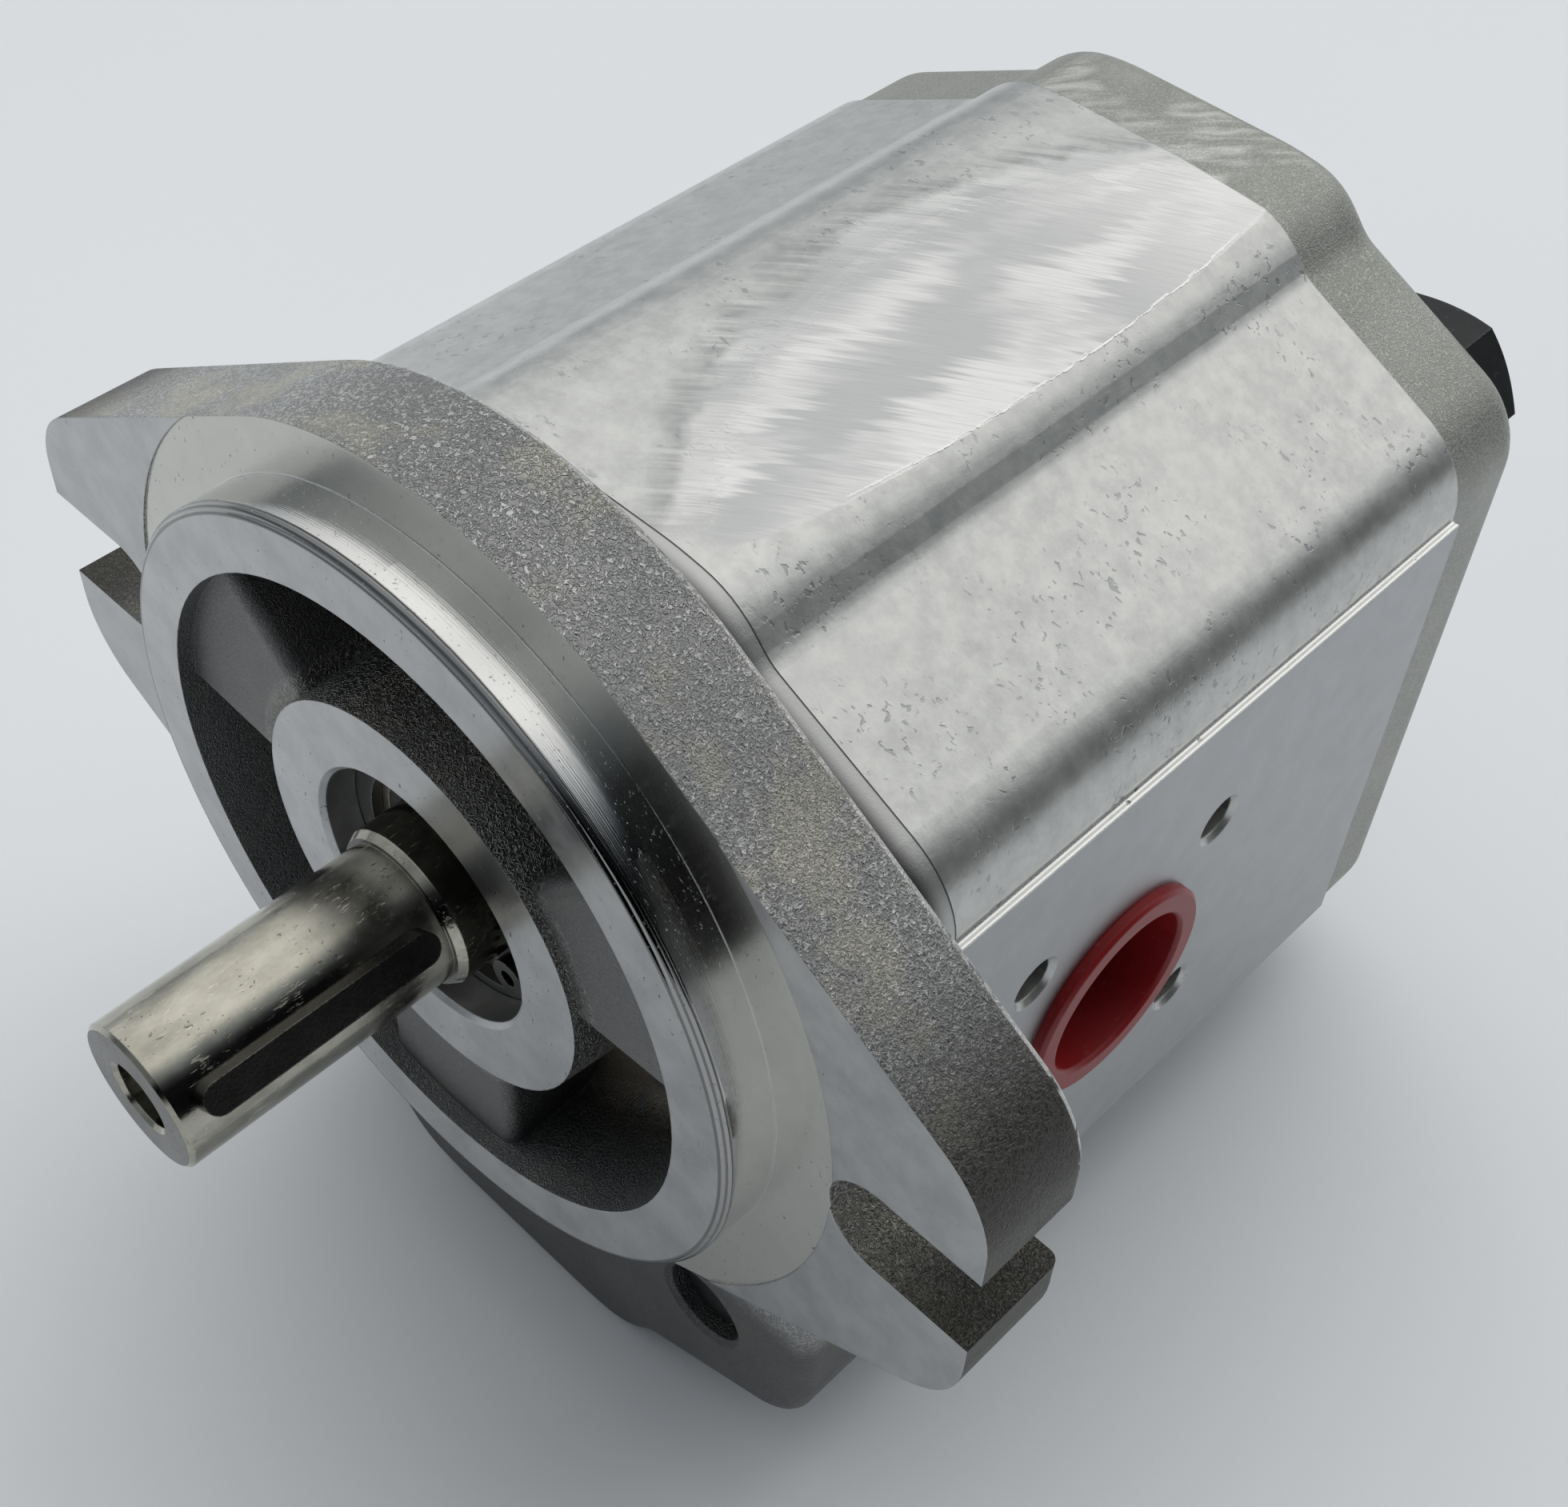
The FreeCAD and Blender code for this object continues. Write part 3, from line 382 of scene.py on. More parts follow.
def flange_material():
    """Sand-cast skin with a turned face, pilot, hub face and seal bore."""
    s = Shader("cast_flange")
    m = flange_regions(s)
    coarse = cast_grain(s, 0.52)
    fine = cast_grain(s, 0.38)
    grain = s.blend(m.calm, coarse, s.plus(s.times(fine, 0.32), 0.3))
    skin = flange_skin(s, m, grain)

    # turned surfaces: fine rings, faint scratches, small dark pores and stains
    rings = s.noise(0.11, 2.0, 0.6, place=s.joined(m.r, s.y, 0.0))
    along, across = s.turned_place(0.6)
    scratches = s.noise(0.16, 2.0, 0.6, place=s.joined(s.times(along, 0.05), across, s.z))
    pores = s.step(s.noise(0.42, 3.0, 0.6, stretch=(1, 1, 1.7)), 0.66, 0.71)
    pores = s.times(pores, s.step(s.noise(4, 2.0), 0.40, 0.58))
    haze = s.step(s.noise(5.0, 4.0, 0.62), 0.3, 0.7)
    metal = s.mix(haze, (0.39, 0.393, 0.395), (0.50, 0.502, 0.50))
    metal = s.mix(s.times(m.recess, s.blend(m.ears, 0.7, 0.25)), metal, (0.60, 0.60, 0.54))
    metal = s.mix(s.times(m.spigot, 0.8), metal, (0.68, 0.68, 0.67))
    metal = s.mix(s.times(pores, s.invert(s.times(m.spigot, 0.6)), 0.85), metal, (0.08, 0.08, 0.08))

    # tool marks next to the pilot's front edge: turned grooves, darkened with painted shade
    marked = s.times(m.spigot, s.between(s.y, PILOT_FACE_Y - 0.1, PILOT_FACE_Y + 1.1, 0.1))
    waves = s.math("SINE", s.times(s.y, 2 * math.pi / 0.42))
    metal = s.mix(s.times(marked, s.step(waves, -0.2, 0.8, 0.5, 0.85)), metal, (0.10, 0.10, 0.10))

    satin = s.blend(m.recess, s.blend(haze, 0.27, 0.34), 0.22)
    gloss = s.blend(haze, 0.08, 0.11)
    roughness = s.blend(m.turned, s.blend(m.calm, 0.40, 0.47), s.blend(m.spigot, satin, gloss))
    lines = s.blend(m.on_face, rings, s.plus(s.times(rings, 0.6), s.times(scratches, 0.4)))
    nicks = s.times(s.step(s.noise(0.5, 3.0, 0.6, stretch=(1, 0.6, 1)), 0.67, 0.72), m.spigot)
    normal = s.bump(lines, 0.008, s.soft_edges(0.22))
    normal = s.bump(s.times(waves, marked), 0.02, normal)
    normal = s.bump(s.invert(nicks), 0.03, normal)
    normal = s.bump(s.invert(s.times(pores, m.turned)), 0.02, normal)
    smooth = s.either(m.turned, s.times(m.neck, 0.9))
    normal = s.bump(s.times(grain, s.invert(smooth)), 0.26, normal)
    return s.finish(s.mix(m.turned, skin, metal), roughness, normal,
                    Anisotropic=s.times(m.turned, 0.7), Anisotropic_Rotation=0.25,
                    Tangent=s.round_tangent())


def cut_depth(s):
    """How deep the grinder would have cut below the body's top; below zero beyond the patch."""
    off = s.math("SUBTRACT", s.y, GROUND_MIDDLE_Y)
    rise = s.times(off, off, 0.5 / GROUND_CURVE_R)
    drop = s.times(s.math("SUBTRACT", s.x, GROUND_START_X), GROUND_SLOPE)
    return s.math("SUBTRACT", drop, rise)


def ground_patch(s, depth):
    """Mask of the ground patch: where the surface lies on the very large cylinder."""
    fringe = s.times(s.math("SUBTRACT", s.noise(2.2, 4.0, 0.7), 0.5), 0.35)
    above = s.math("SUBTRACT", s.z, s.math("SUBTRACT", TOP_Z, depth))
    return s.times(s.step(s.plus(above, s.times(fringe, 0.35)), -0.12, -0.05),
                   s.step(s.plus(depth, fringe), 0.02, 0.16))


def beside_patch(s, depth, low, high):
    """Mask beyond the patch's shallow side, over a cut depth (below zero) from low to high."""
    wander = s.times(s.math("SUBTRACT", s.noise(6.0, 3.0, 0.6), 0.5), 0.5)
    return s.times(s.step(s.plus(depth, wander), low, high), s.step(s.nz, 0.94, 0.98),
                   s.step(s.x, 12.0, 6.0), s.step(s.y, 110.0, 95.0))


def grinder_strokes(s):
    """Fine strokes, their ragged ends, and broad bands of them, smoother and with a painted sheen."""
    along, across = s.turned_place(math.radians(40))
    past_start = s.math("SUBTRACT", along, 26.0)
    across = s.plus(across, s.times(past_start, past_start, 0.0022))
    strokes = s.noise(0.26, 3.0, 0.65, place=s.joined(s.times(along, 0.03), across, 0.0))
    ragged = s.noise(1.5, 3.0, 0.7, place=s.joined(s.times(along, 0.05), across, 0.0))
    slipped = s.plus(s.x, s.times(s.math("SUBTRACT", ragged, 0.5), 12.0))
    swaths_and_painted_sheen = s.noise(7.0, 1.0, 0.5, place=s.joined(slipped, s.times(s.y, 0.22), 0.0))
    # brighter toward the rear of the patch: painted highlight
    swaths_and_painted_sheen = s.either(s.step(swaths_and_painted_sheen, 0.38, 0.62), s.step(s.y, 68, 92, 0.0, 0.8))
    return strokes, ragged, swaths_and_painted_sheen


def body_material():
    """Extruded aluminium: mottled skin, ground patch on top, milled ports and ends."""
    s = Shader("extruded_body")
    side = s.math("ABSOLUTE", s.x)
    pad = s.times(s.step(s.math("ABSOLUTE", s.nx), 0.9, 0.97), s.step(side, PAD_X - 0.4, PAD_X - 0.2))
    flat = s.either(pad, s.step(s.math("ABSOLUTE", s.ny), 0.9, 0.97))
    height = s.math("ABSOLUTE", s.math("SUBTRACT", s.z, BODY_MIDDLE_Z))
    pad_half = PAD_TOP_Z - BODY_MIDDLE_Z
    ledge = s.times(s.between(height, pad_half - 0.5, pad_half + 0.3),
                    s.step(side, PAD_X - 1.4, PAD_X - 1.2), s.invert(pad))

    # skin: cloudy, with little dark flecks that come in flocks
    streaks = s.noise(0.45, 3.0, 0.6, stretch=(1, 30, 1))
    mottle = s.noise(2.6, 5.0, 0.68)
    cloud = s.noise(14, 3.0, 0.55, stretch=(1, 2.0, 1))
    flecks = s.step(s.noise(0.8, 2.5, 0.55, stretch=(1.6, 1, 1), warp=0.5), 0.60, 0.67)
    flecks = s.times(flecks, s.step(s.noise(9, 2.0), 0.44, 0.62))
    skin = s.mix(s.step(mottle, 0.25, 0.75), (0.49, 0.495, 0.485), (0.66, 0.665, 0.645))
    skin = s.mix(s.times(s.step(cloud, 0.35, 0.7), 0.35), skin, (0.69, 0.69, 0.67))
    skin = s.mix(s.times(flecks, 0.65), skin, (0.30, 0.31, 0.32))

    # ground patch, the brushed strip beside it, and the dull smear beyond that
    strokes, ragged, swaths_and_painted_sheen = grinder_strokes(s)
    depth = cut_depth(s)
    patch = ground_patch(s, depth)
    brushed = beside_patch(s, depth, -0.26, -0.12)
    smear = s.times(beside_patch(s, depth, -0.50, -0.22), s.step(ragged, 0.35, 0.6))
    # painted sheen: the patch and the brushed strip are painted brighter in the swaths and toward the
    # rear
    bright = s.mix(swaths_and_painted_sheen, (0.54, 0.545, 0.545), (0.80, 0.80, 0.785))
    bright = s.mix(s.times(s.step(strokes, 0.42, 0.72), 0.42), bright, (0.46, 0.465, 0.47))
    skin = s.mix(s.times(smear, 0.7), skin, (0.31, 0.315, 0.32))
    skin = s.mix(s.times(brushed, 0.85), skin, bright)
    skin = s.mix(s.step(s.y, BODY_FRONT_Y + 0.22, BODY_FRONT_Y + 0.08), skin, (0.08, 0.08, 0.08))

    # milled port faces and ends; the pads' upper edge is polished, with small pits
    arcs = s.noise(0.14, 2.0, 0.5, stretch=(1, 1, 30))
    milled = s.mix(s.noise(4.0, 4.0, 0.6), (0.37, 0.378, 0.39), (0.48, 0.488, 0.50))
    pits = s.times(s.step(s.cells(0.9, stretch=(1, 1.6, 1)), 0.26, 0.14),
                   s.step(s.noise(4.0, 2.0), 0.50, 0.60))
    polished = s.mix(pits, (0.86, 0.86, 0.84), (0.04, 0.04, 0.04))

    colour = s.mix(patch, s.mix(flat, skin, milled), bright)
    colour = s.mix(ledge, colour, polished)
    roughness = s.blend(patch, s.blend(flat, s.blend(mottle, 0.26, 0.36), 0.40),
                        s.blend(swaths_and_painted_sheen, 0.38, 0.28))
    roughness = s.blend(ledge, roughness, 0.22)
    metallic = s.blend(patch, s.blend(s.either(flat, ledge), 0.72, 1.0), 0.66)
    wild = s.invert(s.either(flat, patch, ledge))
    normal = s.bump(s.blend(flat, s.times(streaks, 0.5), arcs), 0.012, s.soft_edges(0.25))
    normal = s.bump(s.times(mottle, wild), 0.035, normal)
    normal = s.bump(s.times(s.invert(flecks), wild), 0.02, normal)
    normal = s.bump(s.times(s.invert(pits), ledge), 0.08, normal)
    normal = s.bump(s.times(strokes, s.either(patch, brushed)), 0.02, normal)
    return s.finish(colour, roughness, normal, metallic=metallic)


def cover_material():
    """Cast cover: fine even grain, slightly green-grey; turned seats under the bolt heads."""
    s = Shader("cast_cover")
    grain = cast_grain(s, 0.34)
    cloud = s.noise(11, 3.0, 0.5)
    colour = s.mix(s.step(grain, 0.3, 0.75), (0.35, 0.358, 0.33), (0.44, 0.448, 0.415))
    colour = s.mix(s.times(s.step(cloud, 0.45, 0.7), 0.4), colour, (0.50, 0.505, 0.475))
    smudge = s.step(s.noise(5, 4.0, 0.65), 0.58, 0.72)
    colour = s.mix(s.times(smudge, 0.3), colour, (0.26, 0.265, 0.25))

    seat = s.times(s.step(s.ny, 0.9, 0.97), s.step(s.y, COVER_REAR_Y - 0.1, COVER_REAR_Y - 0.2))
    joint = s.step(s.ny, -0.9, -0.97)
    cut = s.either(seat, joint)
    rings = s.noise(0.12, 2.0, 0.6, place=s.joined(s.radius(), s.y, 0.0))
    colour = s.mix(cut, colour, (0.70, 0.70, 0.69))

    # up-facing top painted brighter: partly rubbed by the grinder's last strokes, partly a painted
    # highlight
    along, across = s.turned_place(math.radians(50))
    rubbed = s.noise(1.6, 4.0, 0.6, place=s.joined(s.times(along, 0.2), across, 0.0))
    rubbed = s.times(s.step(rubbed, 0.36, 0.66), s.step(s.nz, 0.93, 0.99),
                     s.step(s.noise(9, 2.0, 0.5), 0.40, 0.56))
    colour = s.mix(s.times(rubbed, 0.55), colour, (0.86, 0.865, 0.83))
    roughness = s.blend(cut, s.blend(grain, 0.52, 0.40), 0.25)
    normal = s.bump(s.times(grain, s.invert(cut)), 0.045, s.soft_edges(0.5))
    normal = s.bump(s.times(rings, cut), 0.01, normal)
    return s.finish(colour, roughness, normal, metallic=s.blend(cut, 0.75, 1.0))


def turned_material(name, low, high, roughness):
    """Turned round metal with fine rings, nicks and stains."""
    s = Shader(name)
    stain = s.noise(5.0, 4.0, 0.62)
    rings = s.noise(0.09, 2.0, 0.6, place=s.joined(s.radius(), s.y, 0.0))
    nicks = s.step(s.noise(1.0, 3.0, 0.6, stretch=(1, 2.5, 1)), 0.66, 0.74)
    colour = s.mix(stain, low, high)
    colour = s.mix(s.times(nicks, 0.6), colour, [c * 0.35 for c in low])
    rough = s.plus(s.blend(stain, roughness * 0.8, roughness * 1.3), s.times(nicks, 0.15))
    normal = s.bump(rings, 0.004, s.soft_edges(0.15))
    normal = s.bump(s.invert(nicks), 0.02, normal)
    return s.finish(colour, rough, normal, Anisotropic=0.5, Anisotropic_Rotation=0.25,
                    Tangent=s.round_tangent())


def shaft_material():
    """Ground steel shaft: warm oily stains, thin rings, nicks and rubbed-off marks."""
    s = Shader("ground_steel")
    stain = s.step(s.noise(4.5, 4.0, 0.65, stretch=(1, 1.8, 1)), 0.3, 0.7)
    rings = s.noise(0.08, 2.0, 0.6, place=s.joined(0.0, s.y, 0.0))
    rubs = s.step(s.noise(0.32, 4.0, 0.7, stretch=(1, 5, 1), warp=0.5), 0.57, 0.66)
    rubs = s.times(rubs, s.step(s.noise(4, 2.0), 0.42, 0.58))
    dents = s.times(s.step(s.noise(0.35, 3.0, 0.65, stretch=(1, 2.2, 1), warp=0.6), 0.64, 0.69),
                    s.step(s.noise(5, 2.0), 0.46, 0.58))
    colour = s.mix(stain, (0.31, 0.30, 0.255), (0.50, 0.487, 0.42))
    colour = s.mix(s.times(rubs, 0.6), colour, (0.74, 0.71, 0.60))
    colour = s.mix(s.times(dents, 0.8), colour, (0.10, 0.09, 0.07))
    # painted shade: the end face is painted near-black
    end_face = s.step(s.ny, -0.9, -0.97)
    colour = s.mix(s.times(end_face, 0.93), colour, (0.06, 0.06, 0.06))
    roughness = s.plus(s.blend(stain, 0.11, 0.18), s.times(rubs, 0.14), s.times(end_face, 0.12))
    normal = s.bump(rings, 0.004, s.soft_edges(0.15))
    normal = s.bump(s.invert(s.either(dents, s.times(rubs, 0.3))), 0.02, normal)
    return s.finish(colour, roughness, normal, Anisotropic=0.5, Anisotropic_Rotation=0.25,
                    Tangent=s.round_tangent())


def plain_steel(name, low, high, roughness, grain=0.3, depth=0.01):
    """Steel with a cloudy tone, a fine even grain and brighter edges: partly rubbed wear, partly a
    painted highlight.
    """
    s = Shader(name)
    cloud = s.noise(3.0, 4.0, 0.6)
    fine = s.noise(grain, 2.0, 0.5)
    # rubbed patches, and brighter edges that are partly wear and partly a painted highlight
    wear_and_painted_highlight = s.either(s.times(s.step(s.noise(1.4, 3.0, 0.65), 0.62, 0.75), 0.4),
                    s.times(s.outer_edge_mask(0.25), s.step(fine, 0.3, 0.6), 0.8))
    colour = s.mix(cloud, low, high)
    colour = s.mix(wear_and_painted_highlight, colour, [min(1.0, c * 2.2 + 0.05) for c in high])
    rough = s.plus(s.blend(cloud, roughness * 0.8, roughness * 1.25), s.times(fine, 0.08))
    return s.finish(colour, rough, s.bump(fine, depth, s.soft_edges(0.15)))


def plastic_material():
    """Moulded polyethylene: waxy, faintly translucent, with flow marks and scuffs."""
    s = Shader("red_plastic")
    flow = s.noise(5.0, 3.0, 0.5)
    scuff = s.step(s.noise(0.7, 3.0, 0.6, stretch=(1, 4, 1)), 0.60, 0.72)
    colour = s.mix(flow, (0.26, 0.007, 0.010), (0.34, 0.012, 0.016))
    colour = s.mix(s.times(scuff, 0.35), colour, (0.42, 0.10, 0.11))
    roughness = s.plus(s.blend(flow, 0.34, 0.44), s.times(scuff, 0.15))
    normal = s.bump(s.noise(0.4, 2.0, 0.5), 0.012, s.soft_edges(0.35))
    s.bsdf.subsurface_method = "RANDOM_WALK"
    s.bsdf.inputs["Subsurface Radius"].default_value = (0.0012, 0.0002, 0.0002)
    s.bsdf.inputs["Subsurface Scale"].default_value = 1.0
    return s.finish(colour, roughness, normal, metallic=0.0, Subsurface_Weight=0.2)


def rubber_material():
    """Moulded black rubber with a bloom of dust."""
    s = Shader("seal_rubber")
    bloom = s.noise(2.5, 4.0, 0.65)
    colour = s.mix(s.step(bloom, 0.4, 0.8), (0.012, 0.012, 0.013), (0.05, 0.048, 0.045))
    roughness = s.blend(bloom, 0.42, 0.62)
    normal = s.bump(s.noise(0.25, 2.0, 0.6), 0.01, s.soft_edges(0.1))
    return s.finish(colour, roughness, normal, metallic=0.0)


def backup_material():
    """PTFE: waxy off-white with fine skive marks."""
    s = Shader("backup_plastic")
    cloud = s.noise(3.0, 3.0, 0.6)
    marks = s.noise(0.15, 2.0, 0.5, stretch=(12, 1, 1))
    colour = s.mix(cloud, (0.72, 0.70, 0.65), (0.82, 0.80, 0.76))
    return s.finish(colour, s.blend(cloud, 0.4, 0.52), s.bump(marks, 0.01), metallic=0.0)


def bush_material():
    """Bush lined with mottled PTFE and bronze."""
    s = Shader("bush_metal")
    speck = s.step(s.noise(0.35, 3.0, 0.6), 0.45, 0.6)
    colour = s.mix(speck, (0.30, 0.27, 0.22), (0.62, 0.44, 0.24))
    return s.finish(colour, s.blend(speck, 0.5, 0.32), s.bump(speck, 0.01, s.soft_edges(0.1)))


def thread_material(name, low, high):
    """Cut thread: oily brown and brighter patches, and fine lines along the cut."""
    s = Shader(name)
    oil = s.step(s.noise(1.2, 3.0, 0.6), 0.35, 0.65)
    lines = s.noise(0.06, 2.0, 0.5, stretch=(1, 1, 6))
    colour = s.mix(oil, low, high)
    return s.finish(colour, s.blend(oil, 0.42, 0.28), s.bump(lines, 0.01, s.soft_edges(0.05)))


def burr_material():
    """Torn bright edge left by grinding."""
    s = Shader("ground_burr")
    torn = s.noise(0.25, 3.0, 0.7)
    colour = s.mix(torn, (0.70, 0.70, 0.69), (0.92, 0.92, 0.91))
    return s.finish(colour, s.blend(torn, 0.2, 0.4), s.bump(torn, 0.05))


def build_materials():
    return {
        "cast_flange": flange_material(),
        "extruded_body": body_material(),
        "cast_cover": cover_material(),
        "ground_steel": shaft_material(),
        "bearing_alloy": turned_material("bearing_alloy", (0.55, 0.54, 0.51), (0.70, 0.69, 0.66), 0.32),
        "bush_metal": bush_material(),
        # painted shade: the key's near-black colour stands for the dark reflection on its faces
        "key_steel": plain_steel("key_steel", (0.045, 0.044, 0.04), (0.08, 0.079, 0.074), 0.22),
        "seal_case_steel": plain_steel("seal_case_steel", (0.30, 0.27, 0.22), (0.42, 0.39, 0.34), 0.30),
        "spring_steel": plain_steel("spring_steel", (0.42, 0.42, 0.42), (0.58, 0.58, 0.57), 0.28, 0.1),
        "ring_steel": plain_steel("ring_steel", (0.07, 0.07, 0.068), (0.13, 0.128, 0.12), 0.36),
        "seal_rubber": rubber_material(),
        "backup_plastic": backup_material(),
        "black_bolt": plain_steel("black_bolt", (0.022, 0.023, 0.024), (0.055, 0.057, 0.058), 0.36),
        "red_plastic": plastic_material(),
        # painted shade: the port threads are coloured dark for the shade inside the holes
        "port_thread": thread_material("port_thread", (0.10, 0.10, 0.07), (0.26, 0.26, 0.22)),
        "shaft_thread": thread_material("shaft_thread", (0.22, 0.20, 0.17), (0.42, 0.41, 0.39)),
        "ground_burr": burr_material(),
    }


def dress_nodes(materials):
    """Gives each CAD node the material of its slot."""
    slots = {row["node"]: row["material_slot"] for row in RECORD["subparts"]}
    for name, node in NODES.items():
        node.data.materials.clear()
        node.data.materials.append(materials[slots[name]])


# ---------------------------------------------------------------- small pieces
class Builder:
    """Collects points and faces, in millimetres, into one mesh piece."""

    def __init__(self):
        self.points = []
        self.faces = []

    def add_strip(self, sections, closed=False):
        """Skins a row of equal closed sections, with caps at both ends unless closed."""
        base = len(self.points)
        count = len(sections[0])
        for section in sections:
            self.points.extend(section)
        turns = len(sections) if closed else len(sections) - 1
        for i in range(turns):
            here = base + i * count
            there = base + ((i + 1) % len(sections)) * count
            for k in range(count):
                after = (k + 1) % count
                self.faces.append((here + k, here + after, there + after, there + k))
        if not closed:
            last = base + (len(sections) - 1) * count
            self.faces.append(tuple(base + k for k in reversed(range(count))))
            self.faces.append(tuple(last + k for k in range(count)))

    def make(self, name, material, body, smooth=False):
        mesh = bpy.data.meshes.new(name)
        mesh.from_pydata([Vector(p) * MM for p in self.points], [], self.faces)
        mesh.materials.append(material)
        work = bmesh.new()
        work.from_mesh(mesh)
        bmesh.ops.recalc_face_normals(work, faces=work.faces)
        work.to_mesh(mesh)
        work.free()
        if smooth:
            mesh.shade_smooth()
        piece = bpy.data.objects.new(name, mesh)
        bpy.context.scene.collection.objects.link(piece)
        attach(piece, body)
        return piece


def thread_sections(mouth, inward, radius, depth, pitch, length, hidden=0.05):
    """Sections of a thread ridge that winds inward from a hole's mouth."""
    inward = Vector(inward)
    side = inward.orthogonal().normalized()
    up = inward.cross(side)
    per_turn = 28
    count = int(length / pitch * per_turn)
    sections = []
    for i in range(count + 1):
        angle = 2 * math.pi * i / per_turn
        travel = pitch * i / per_turn
        fade = min(1.0, i / 6, (count - i) / 6)
        out = side * math.cos(angle) + up * math.sin(angle)
        foot = Vector(mouth) + inward * travel
        wide = 0.42 * pitch
        crest = radius - depth * fade
        sections.append([
            foot + out * (radius + hidden) - inward * wide,
            foot + out * crest - inward * 0.05 * pitch,
            foot + out * crest + inward * 0.05 * pitch,
            foot + out * (radius + hidden) + inward * wide,
        ])
    return sections


def mount_named(name):
    return next(m for m in RECORD["mounts"] if m["name"] == name)


def port_threads(materials):
    """M6 threads in the eight port holes."""
    work = Builder()
    pitch, depth, length = PORT_THREAD
    for name in ("inlet_bolts", "outlet_bolts"):
        mount = mount_named(name)
        centre = Vector(mount["pos_m"]) / MM
        inward = -Vector(mount["axis"])
        reach = mount["dims"]["pcd_mm"] / 2 / math.sqrt(2)
        for dy in (-reach, reach):
            for dz in (-reach, reach):
                mouth = centre + Vector((0, dy, dz)) + inward * 0.7 * pitch
                work.add_strip(thread_sections(mouth, inward, mount["dims"]["hole_r_mm"],
                                               depth, pitch, length))
    work.make("port_hole_threads", materials["port_thread"], "housing")


def shaft_thread(materials):
    """M8 thread in the shaft's end, which starts below a plain mouth."""
    work = Builder()
    pitch, depth, length = SHAFT_THREAD
    radius = mount_named("shaft_end_thread")["dims"]["r_mm"]
    shaft_end_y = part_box("drive_gear_shaft")[0].y / MM
    mouth = Vector((0, shaft_end_y + SHAFT_MOUTH_DEPTH, 0))
    work.add_strip(thread_sections(mouth, (0, 1, 0), radius, depth, pitch, length))
    work.make("shaft_end_thread", materials["shaft_thread"], "drive")


def garter_coil(materials):
    """Close-wound spring bent into a ring behind the seal lip."""
    low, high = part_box("seal_garter_spring")
    centre = (low + high) / 2 / MM
    tube = (high.y - low.y) / 2 / MM
    ring_r = (high.x - low.x) / 2 / MM - tube
    coil_r = tube - SPRING_WIRE_R
    per_turn = 12
    around = 6
    count = SPRING_TURNS * per_turn
    sections = []
    for i in range(count):
        big = 2 * math.pi * i / count
        small = 2 * math.pi * i / per_turn
        out = Vector((math.cos(big), 0, math.sin(big)))
        spoke = out * math.cos(small) + Vector((0, 1, 0)) * math.sin(small)
        place = centre + out * ring_r + spoke * coil_r
        forward = Vector((-math.sin(big), 0, math.cos(big)))
        across = forward * 0.97 + spoke.cross(forward) * 0.24
        sections.append([place + (spoke * math.cos(t) + across * math.sin(t)) * SPRING_WIRE_R
                         for t in (2 * math.pi * k / around for k in range(around))])
    work = Builder()
    work.add_strip(sections, closed=True)
    piece = work.make("garter_spring_coil", materials["spring_steel"], "housing", True)
    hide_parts("seal_garter_spring")


def ground_edge(y):
    """Where the ground patch runs out on the lobe's round edge: (x, z) at this y."""
    rise = (y - GROUND_MIDDLE_Y) ** 2 / (2 * GROUND_CURVE_R)
    over_centre = TOP_Z + rise - (EDGE_CENTRE_X - GROUND_START_X) * GROUND_SLOPE - EDGE_CENTRE_Z
    square = 1 + GROUND_SLOPE ** 2
    lean = over_centre * GROUND_SLOPE
    x = (lean + math.sqrt(lean ** 2 - square * (over_centre ** 2 - EDGE_R ** 2))) / square
    return EDGE_CENTRE_X + x, EDGE_CENTRE_Z + over_centre - GROUND_SLOPE * x


def grinding_burr(materials):
    """Thin torn burr along the outer edge of the ground patch."""
    random.seed(7)
    count = int((BURR_END_Y - BURR_START_Y) / BURR_PITCH)
    sections = []
    tear = 0.2
    for i in range(count + 1):
        y = BURR_START_Y + i * BURR_PITCH
        x, z = ground_edge(y)
        tear = min(0.30, max(0.02, tear + random.uniform(-0.08, 0.08)))
        fade = min(1.0, i / 40, (count - i) / 40)
        reach = 0.02 + tear * fade
        sections.append([
            Vector((x - 0.25, y, z + 0.018)),
            Vector((x + reach * 0.8, y, z - reach * 0.2 + 0.02)),
            Vector((x + reach * 0.7, y, z - reach * 0.6)),
            Vector((x - 0.20, y, z - 0.20)),
        ])
    work = Builder()
    work.add_strip(sections)
    work.make("grinding_burr", materials["ground_burr"], "housing")


# ---------------------------------------------------------------- stage
def floor_material():
    s = Shader("pale_floor")
    cloud = s.noise(160, 2.0, 0.5)
    fibre = s.noise(1.2, 3.0, 0.6)
    colour = s.mix(cloud, (0.87, 0.895, 0.92), (0.91, 0.93, 0.955))
    return s.finish(colour, 0.7, s.bump(fibre, 0.02), metallic=0.0)


def build_floor():
    size = 3.0
    mesh = bpy.data.meshes.new("floor")
    z = CAD_LOW.z - 0.0002
    corners = [(-size, -size, z), (size, -size, z), (size, size, z), (-size, size, z)]
    mesh.from_pydata(corners, [], [(0, 1, 2, 3)])
    mesh.materials.append(floor_material())
    floor = bpy.data.objects.new("floor", mesh)
    bpy.context.scene.collection.objects.link(floor)


def area_light(name, place, size, power, colour):
    """Rectangular light without a mirror image, aimed at the object; place is in metres."""
    light = bpy.data.lights.new(name, "AREA")
    light.shape = "RECTANGLE"
    light.size, light.size_y = size
    light.energy = power
    light.color = colour
    lamp = bpy.data.objects.new(name, light)
    lamp.location = place
    aim = (CAD_LOW + CAD_HIGH) / 2 - Vector(place)
    lamp.rotation_euler = aim.to_track_quat("-Z", "Y").to_euler()
    lamp.visible_glossy = False
    bpy.context.scene.collection.objects.link(lamp)


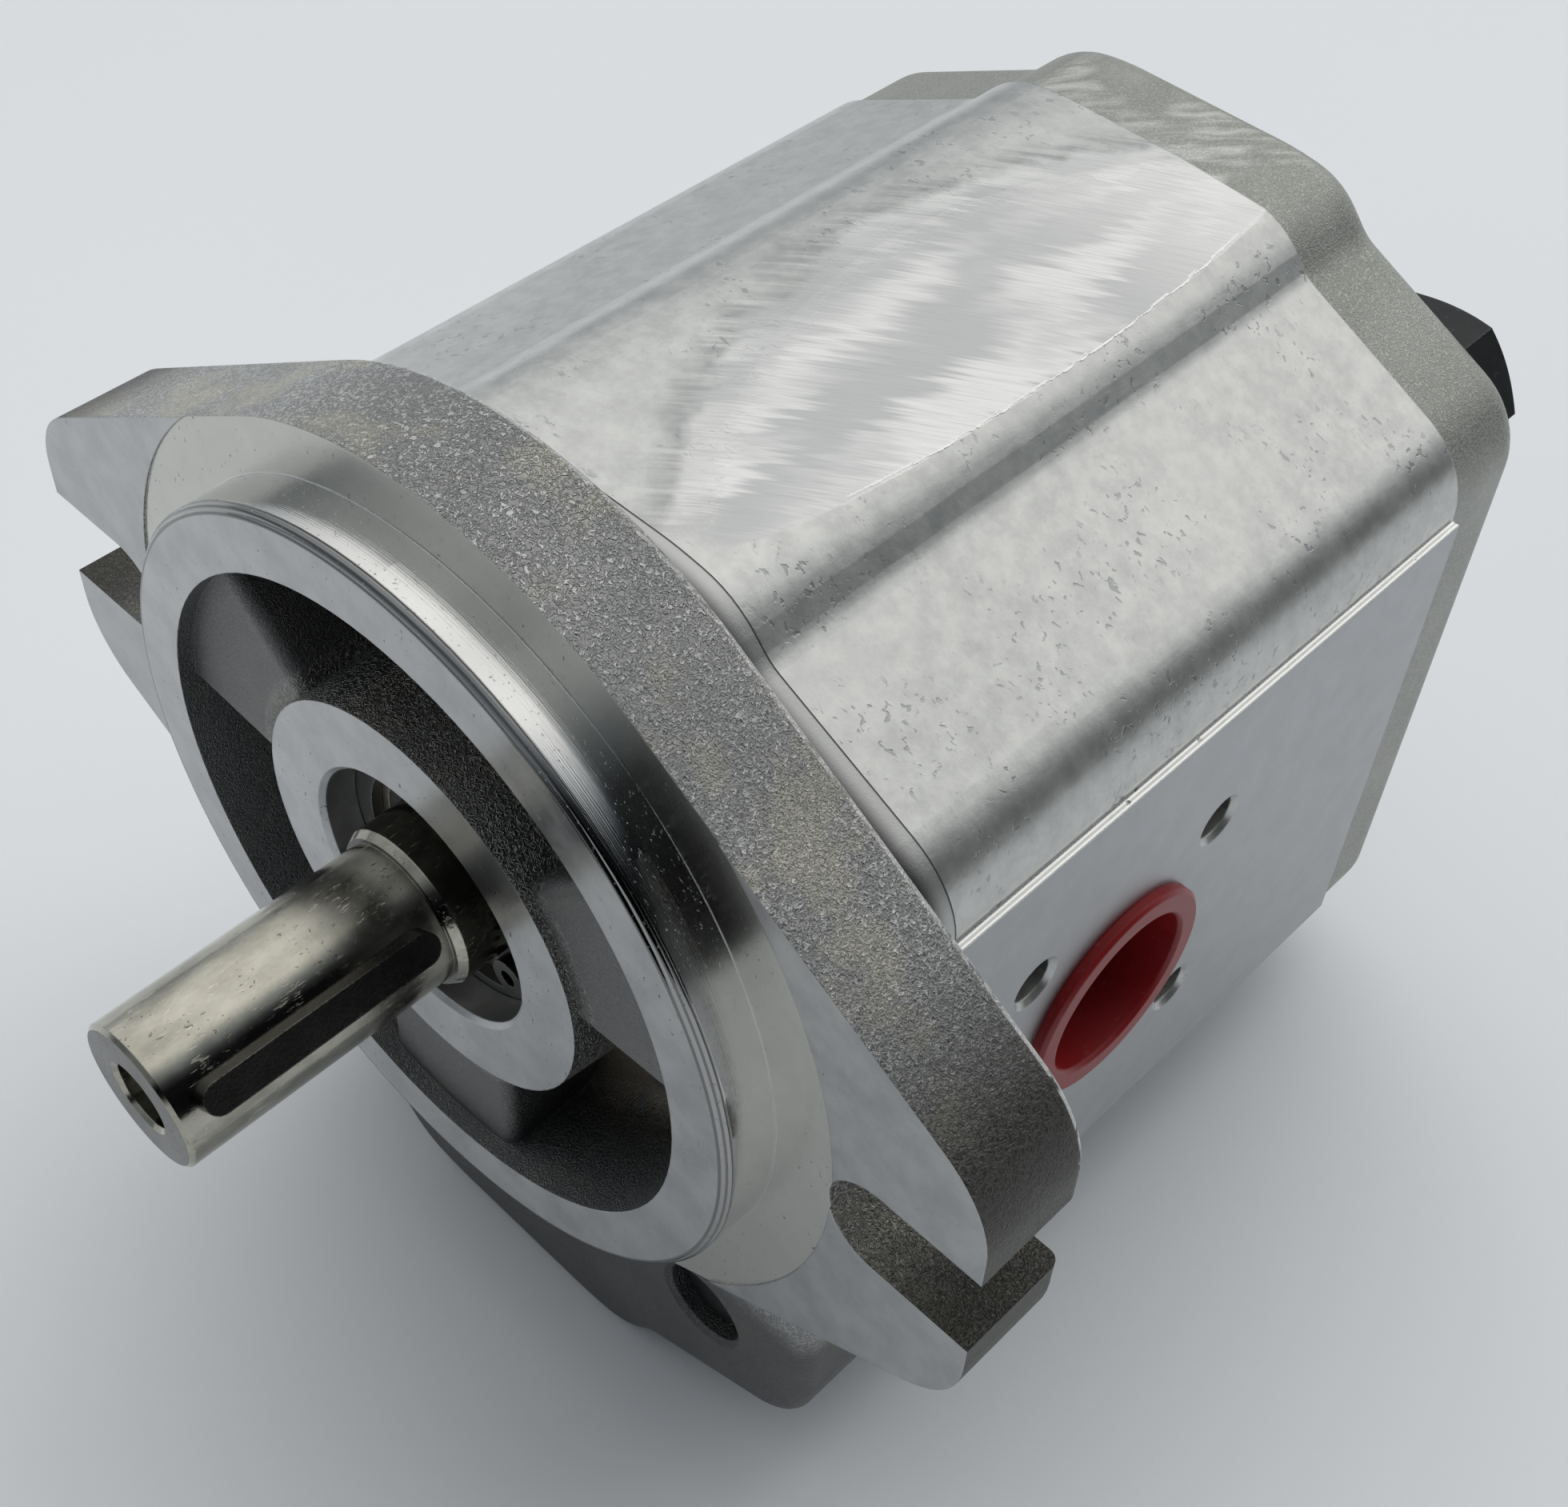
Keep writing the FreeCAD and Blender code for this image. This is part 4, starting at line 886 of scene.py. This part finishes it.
def build_world():
    """Soft sky: nearly black toward +X, brightest overhead, fading toward -X."""
    world = bpy.data.worlds.new("studio")
    bpy.context.scene.world = world
    world.use_nodes = True
    w = Nodes(world.node_tree)
    x, y, z = w.split(w.add("ShaderNodeTexCoord").outputs["Generated"])
    # angle in the XZ plane: 0 toward +X, 90 overhead, 180 toward -X, 270 below
    angle = w.times(w.math("ARCTAN2", z, x), 180 / math.pi)
    angle = w.plus(angle, w.times(w.step(angle, 0, -1), 360))
    angle = w.plus(angle, w.step(y, 0.35, 0.6, 0.0, SKY_BACK_SHIFT))
    ramp = w.add("ShaderNodeValToRGB")
    stops = ramp.color_ramp.elements
    for number, (degrees, level) in enumerate(SKY_LEVELS):
        stop = stops[number] if number < 2 else stops.new(1.0)
        stop.position = degrees / 360
        stop.color = (level, level, level, 1.0)
    w.plug(w.times(angle, 1 / 360), ramp.inputs[0])
    sky = w.times(ramp.outputs["Color"], w.step(y, -1.0, 0.4, 0.25, 1.0), SKY_PEAK)
    front = w.times(w.step(y, 0.0, -0.8), w.step(z, 0.3, 0.9), 0.09)
    level = w.either(sky, front)
    colour = w.mix(level, (0.80, 0.90, 1.0), (1.0, 1.0, 0.985))
    background = w.nodes["Background"]
    # the camera itself sees a pale backdrop in place of the lights
    seen = w.add("ShaderNodeLightPath").outputs["Is Camera Ray"]
    w.plug(w.mix(seen, colour, BACKDROP), background.inputs["Color"])
    w.plug(w.blend(seen, level, 1.0), background.inputs["Strength"])


def build_lights():
    area_light("overhead", (-0.30, 0.55, 1.55), (1.6, 1.2), 5.5, (1.0, 1.0, 1.0))


def build_camera():
    """Camera close above the shaft end, rolled as a hand holds it."""
    camera = bpy.data.objects.new("camera", bpy.data.cameras.new("camera"))
    camera.data.lens = LENS
    camera.data.sensor_width = SENSOR_WIDTH
    camera.data.clip_start = 0.01
    turn = Matrix((CAMERA_RIGHT, -CAMERA_DOWN, -CAMERA_AHEAD)).transposed().to_4x4()
    camera.matrix_world = Matrix.Translation(CAMERA_PLACE * MM) @ turn
    bpy.context.scene.collection.objects.link(camera)
    bpy.context.scene.camera = camera
    bpy.context.scene.view_settings.view_transform = "Standard"


# ---------------------------------------------------------------- build
finishes = build_materials()
dress_nodes(finishes)
port_threads(finishes)
shaft_thread(finishes)
garter_coil(finishes)
grinding_burr(finishes)
build_floor()
build_world()
build_lights()
build_camera()
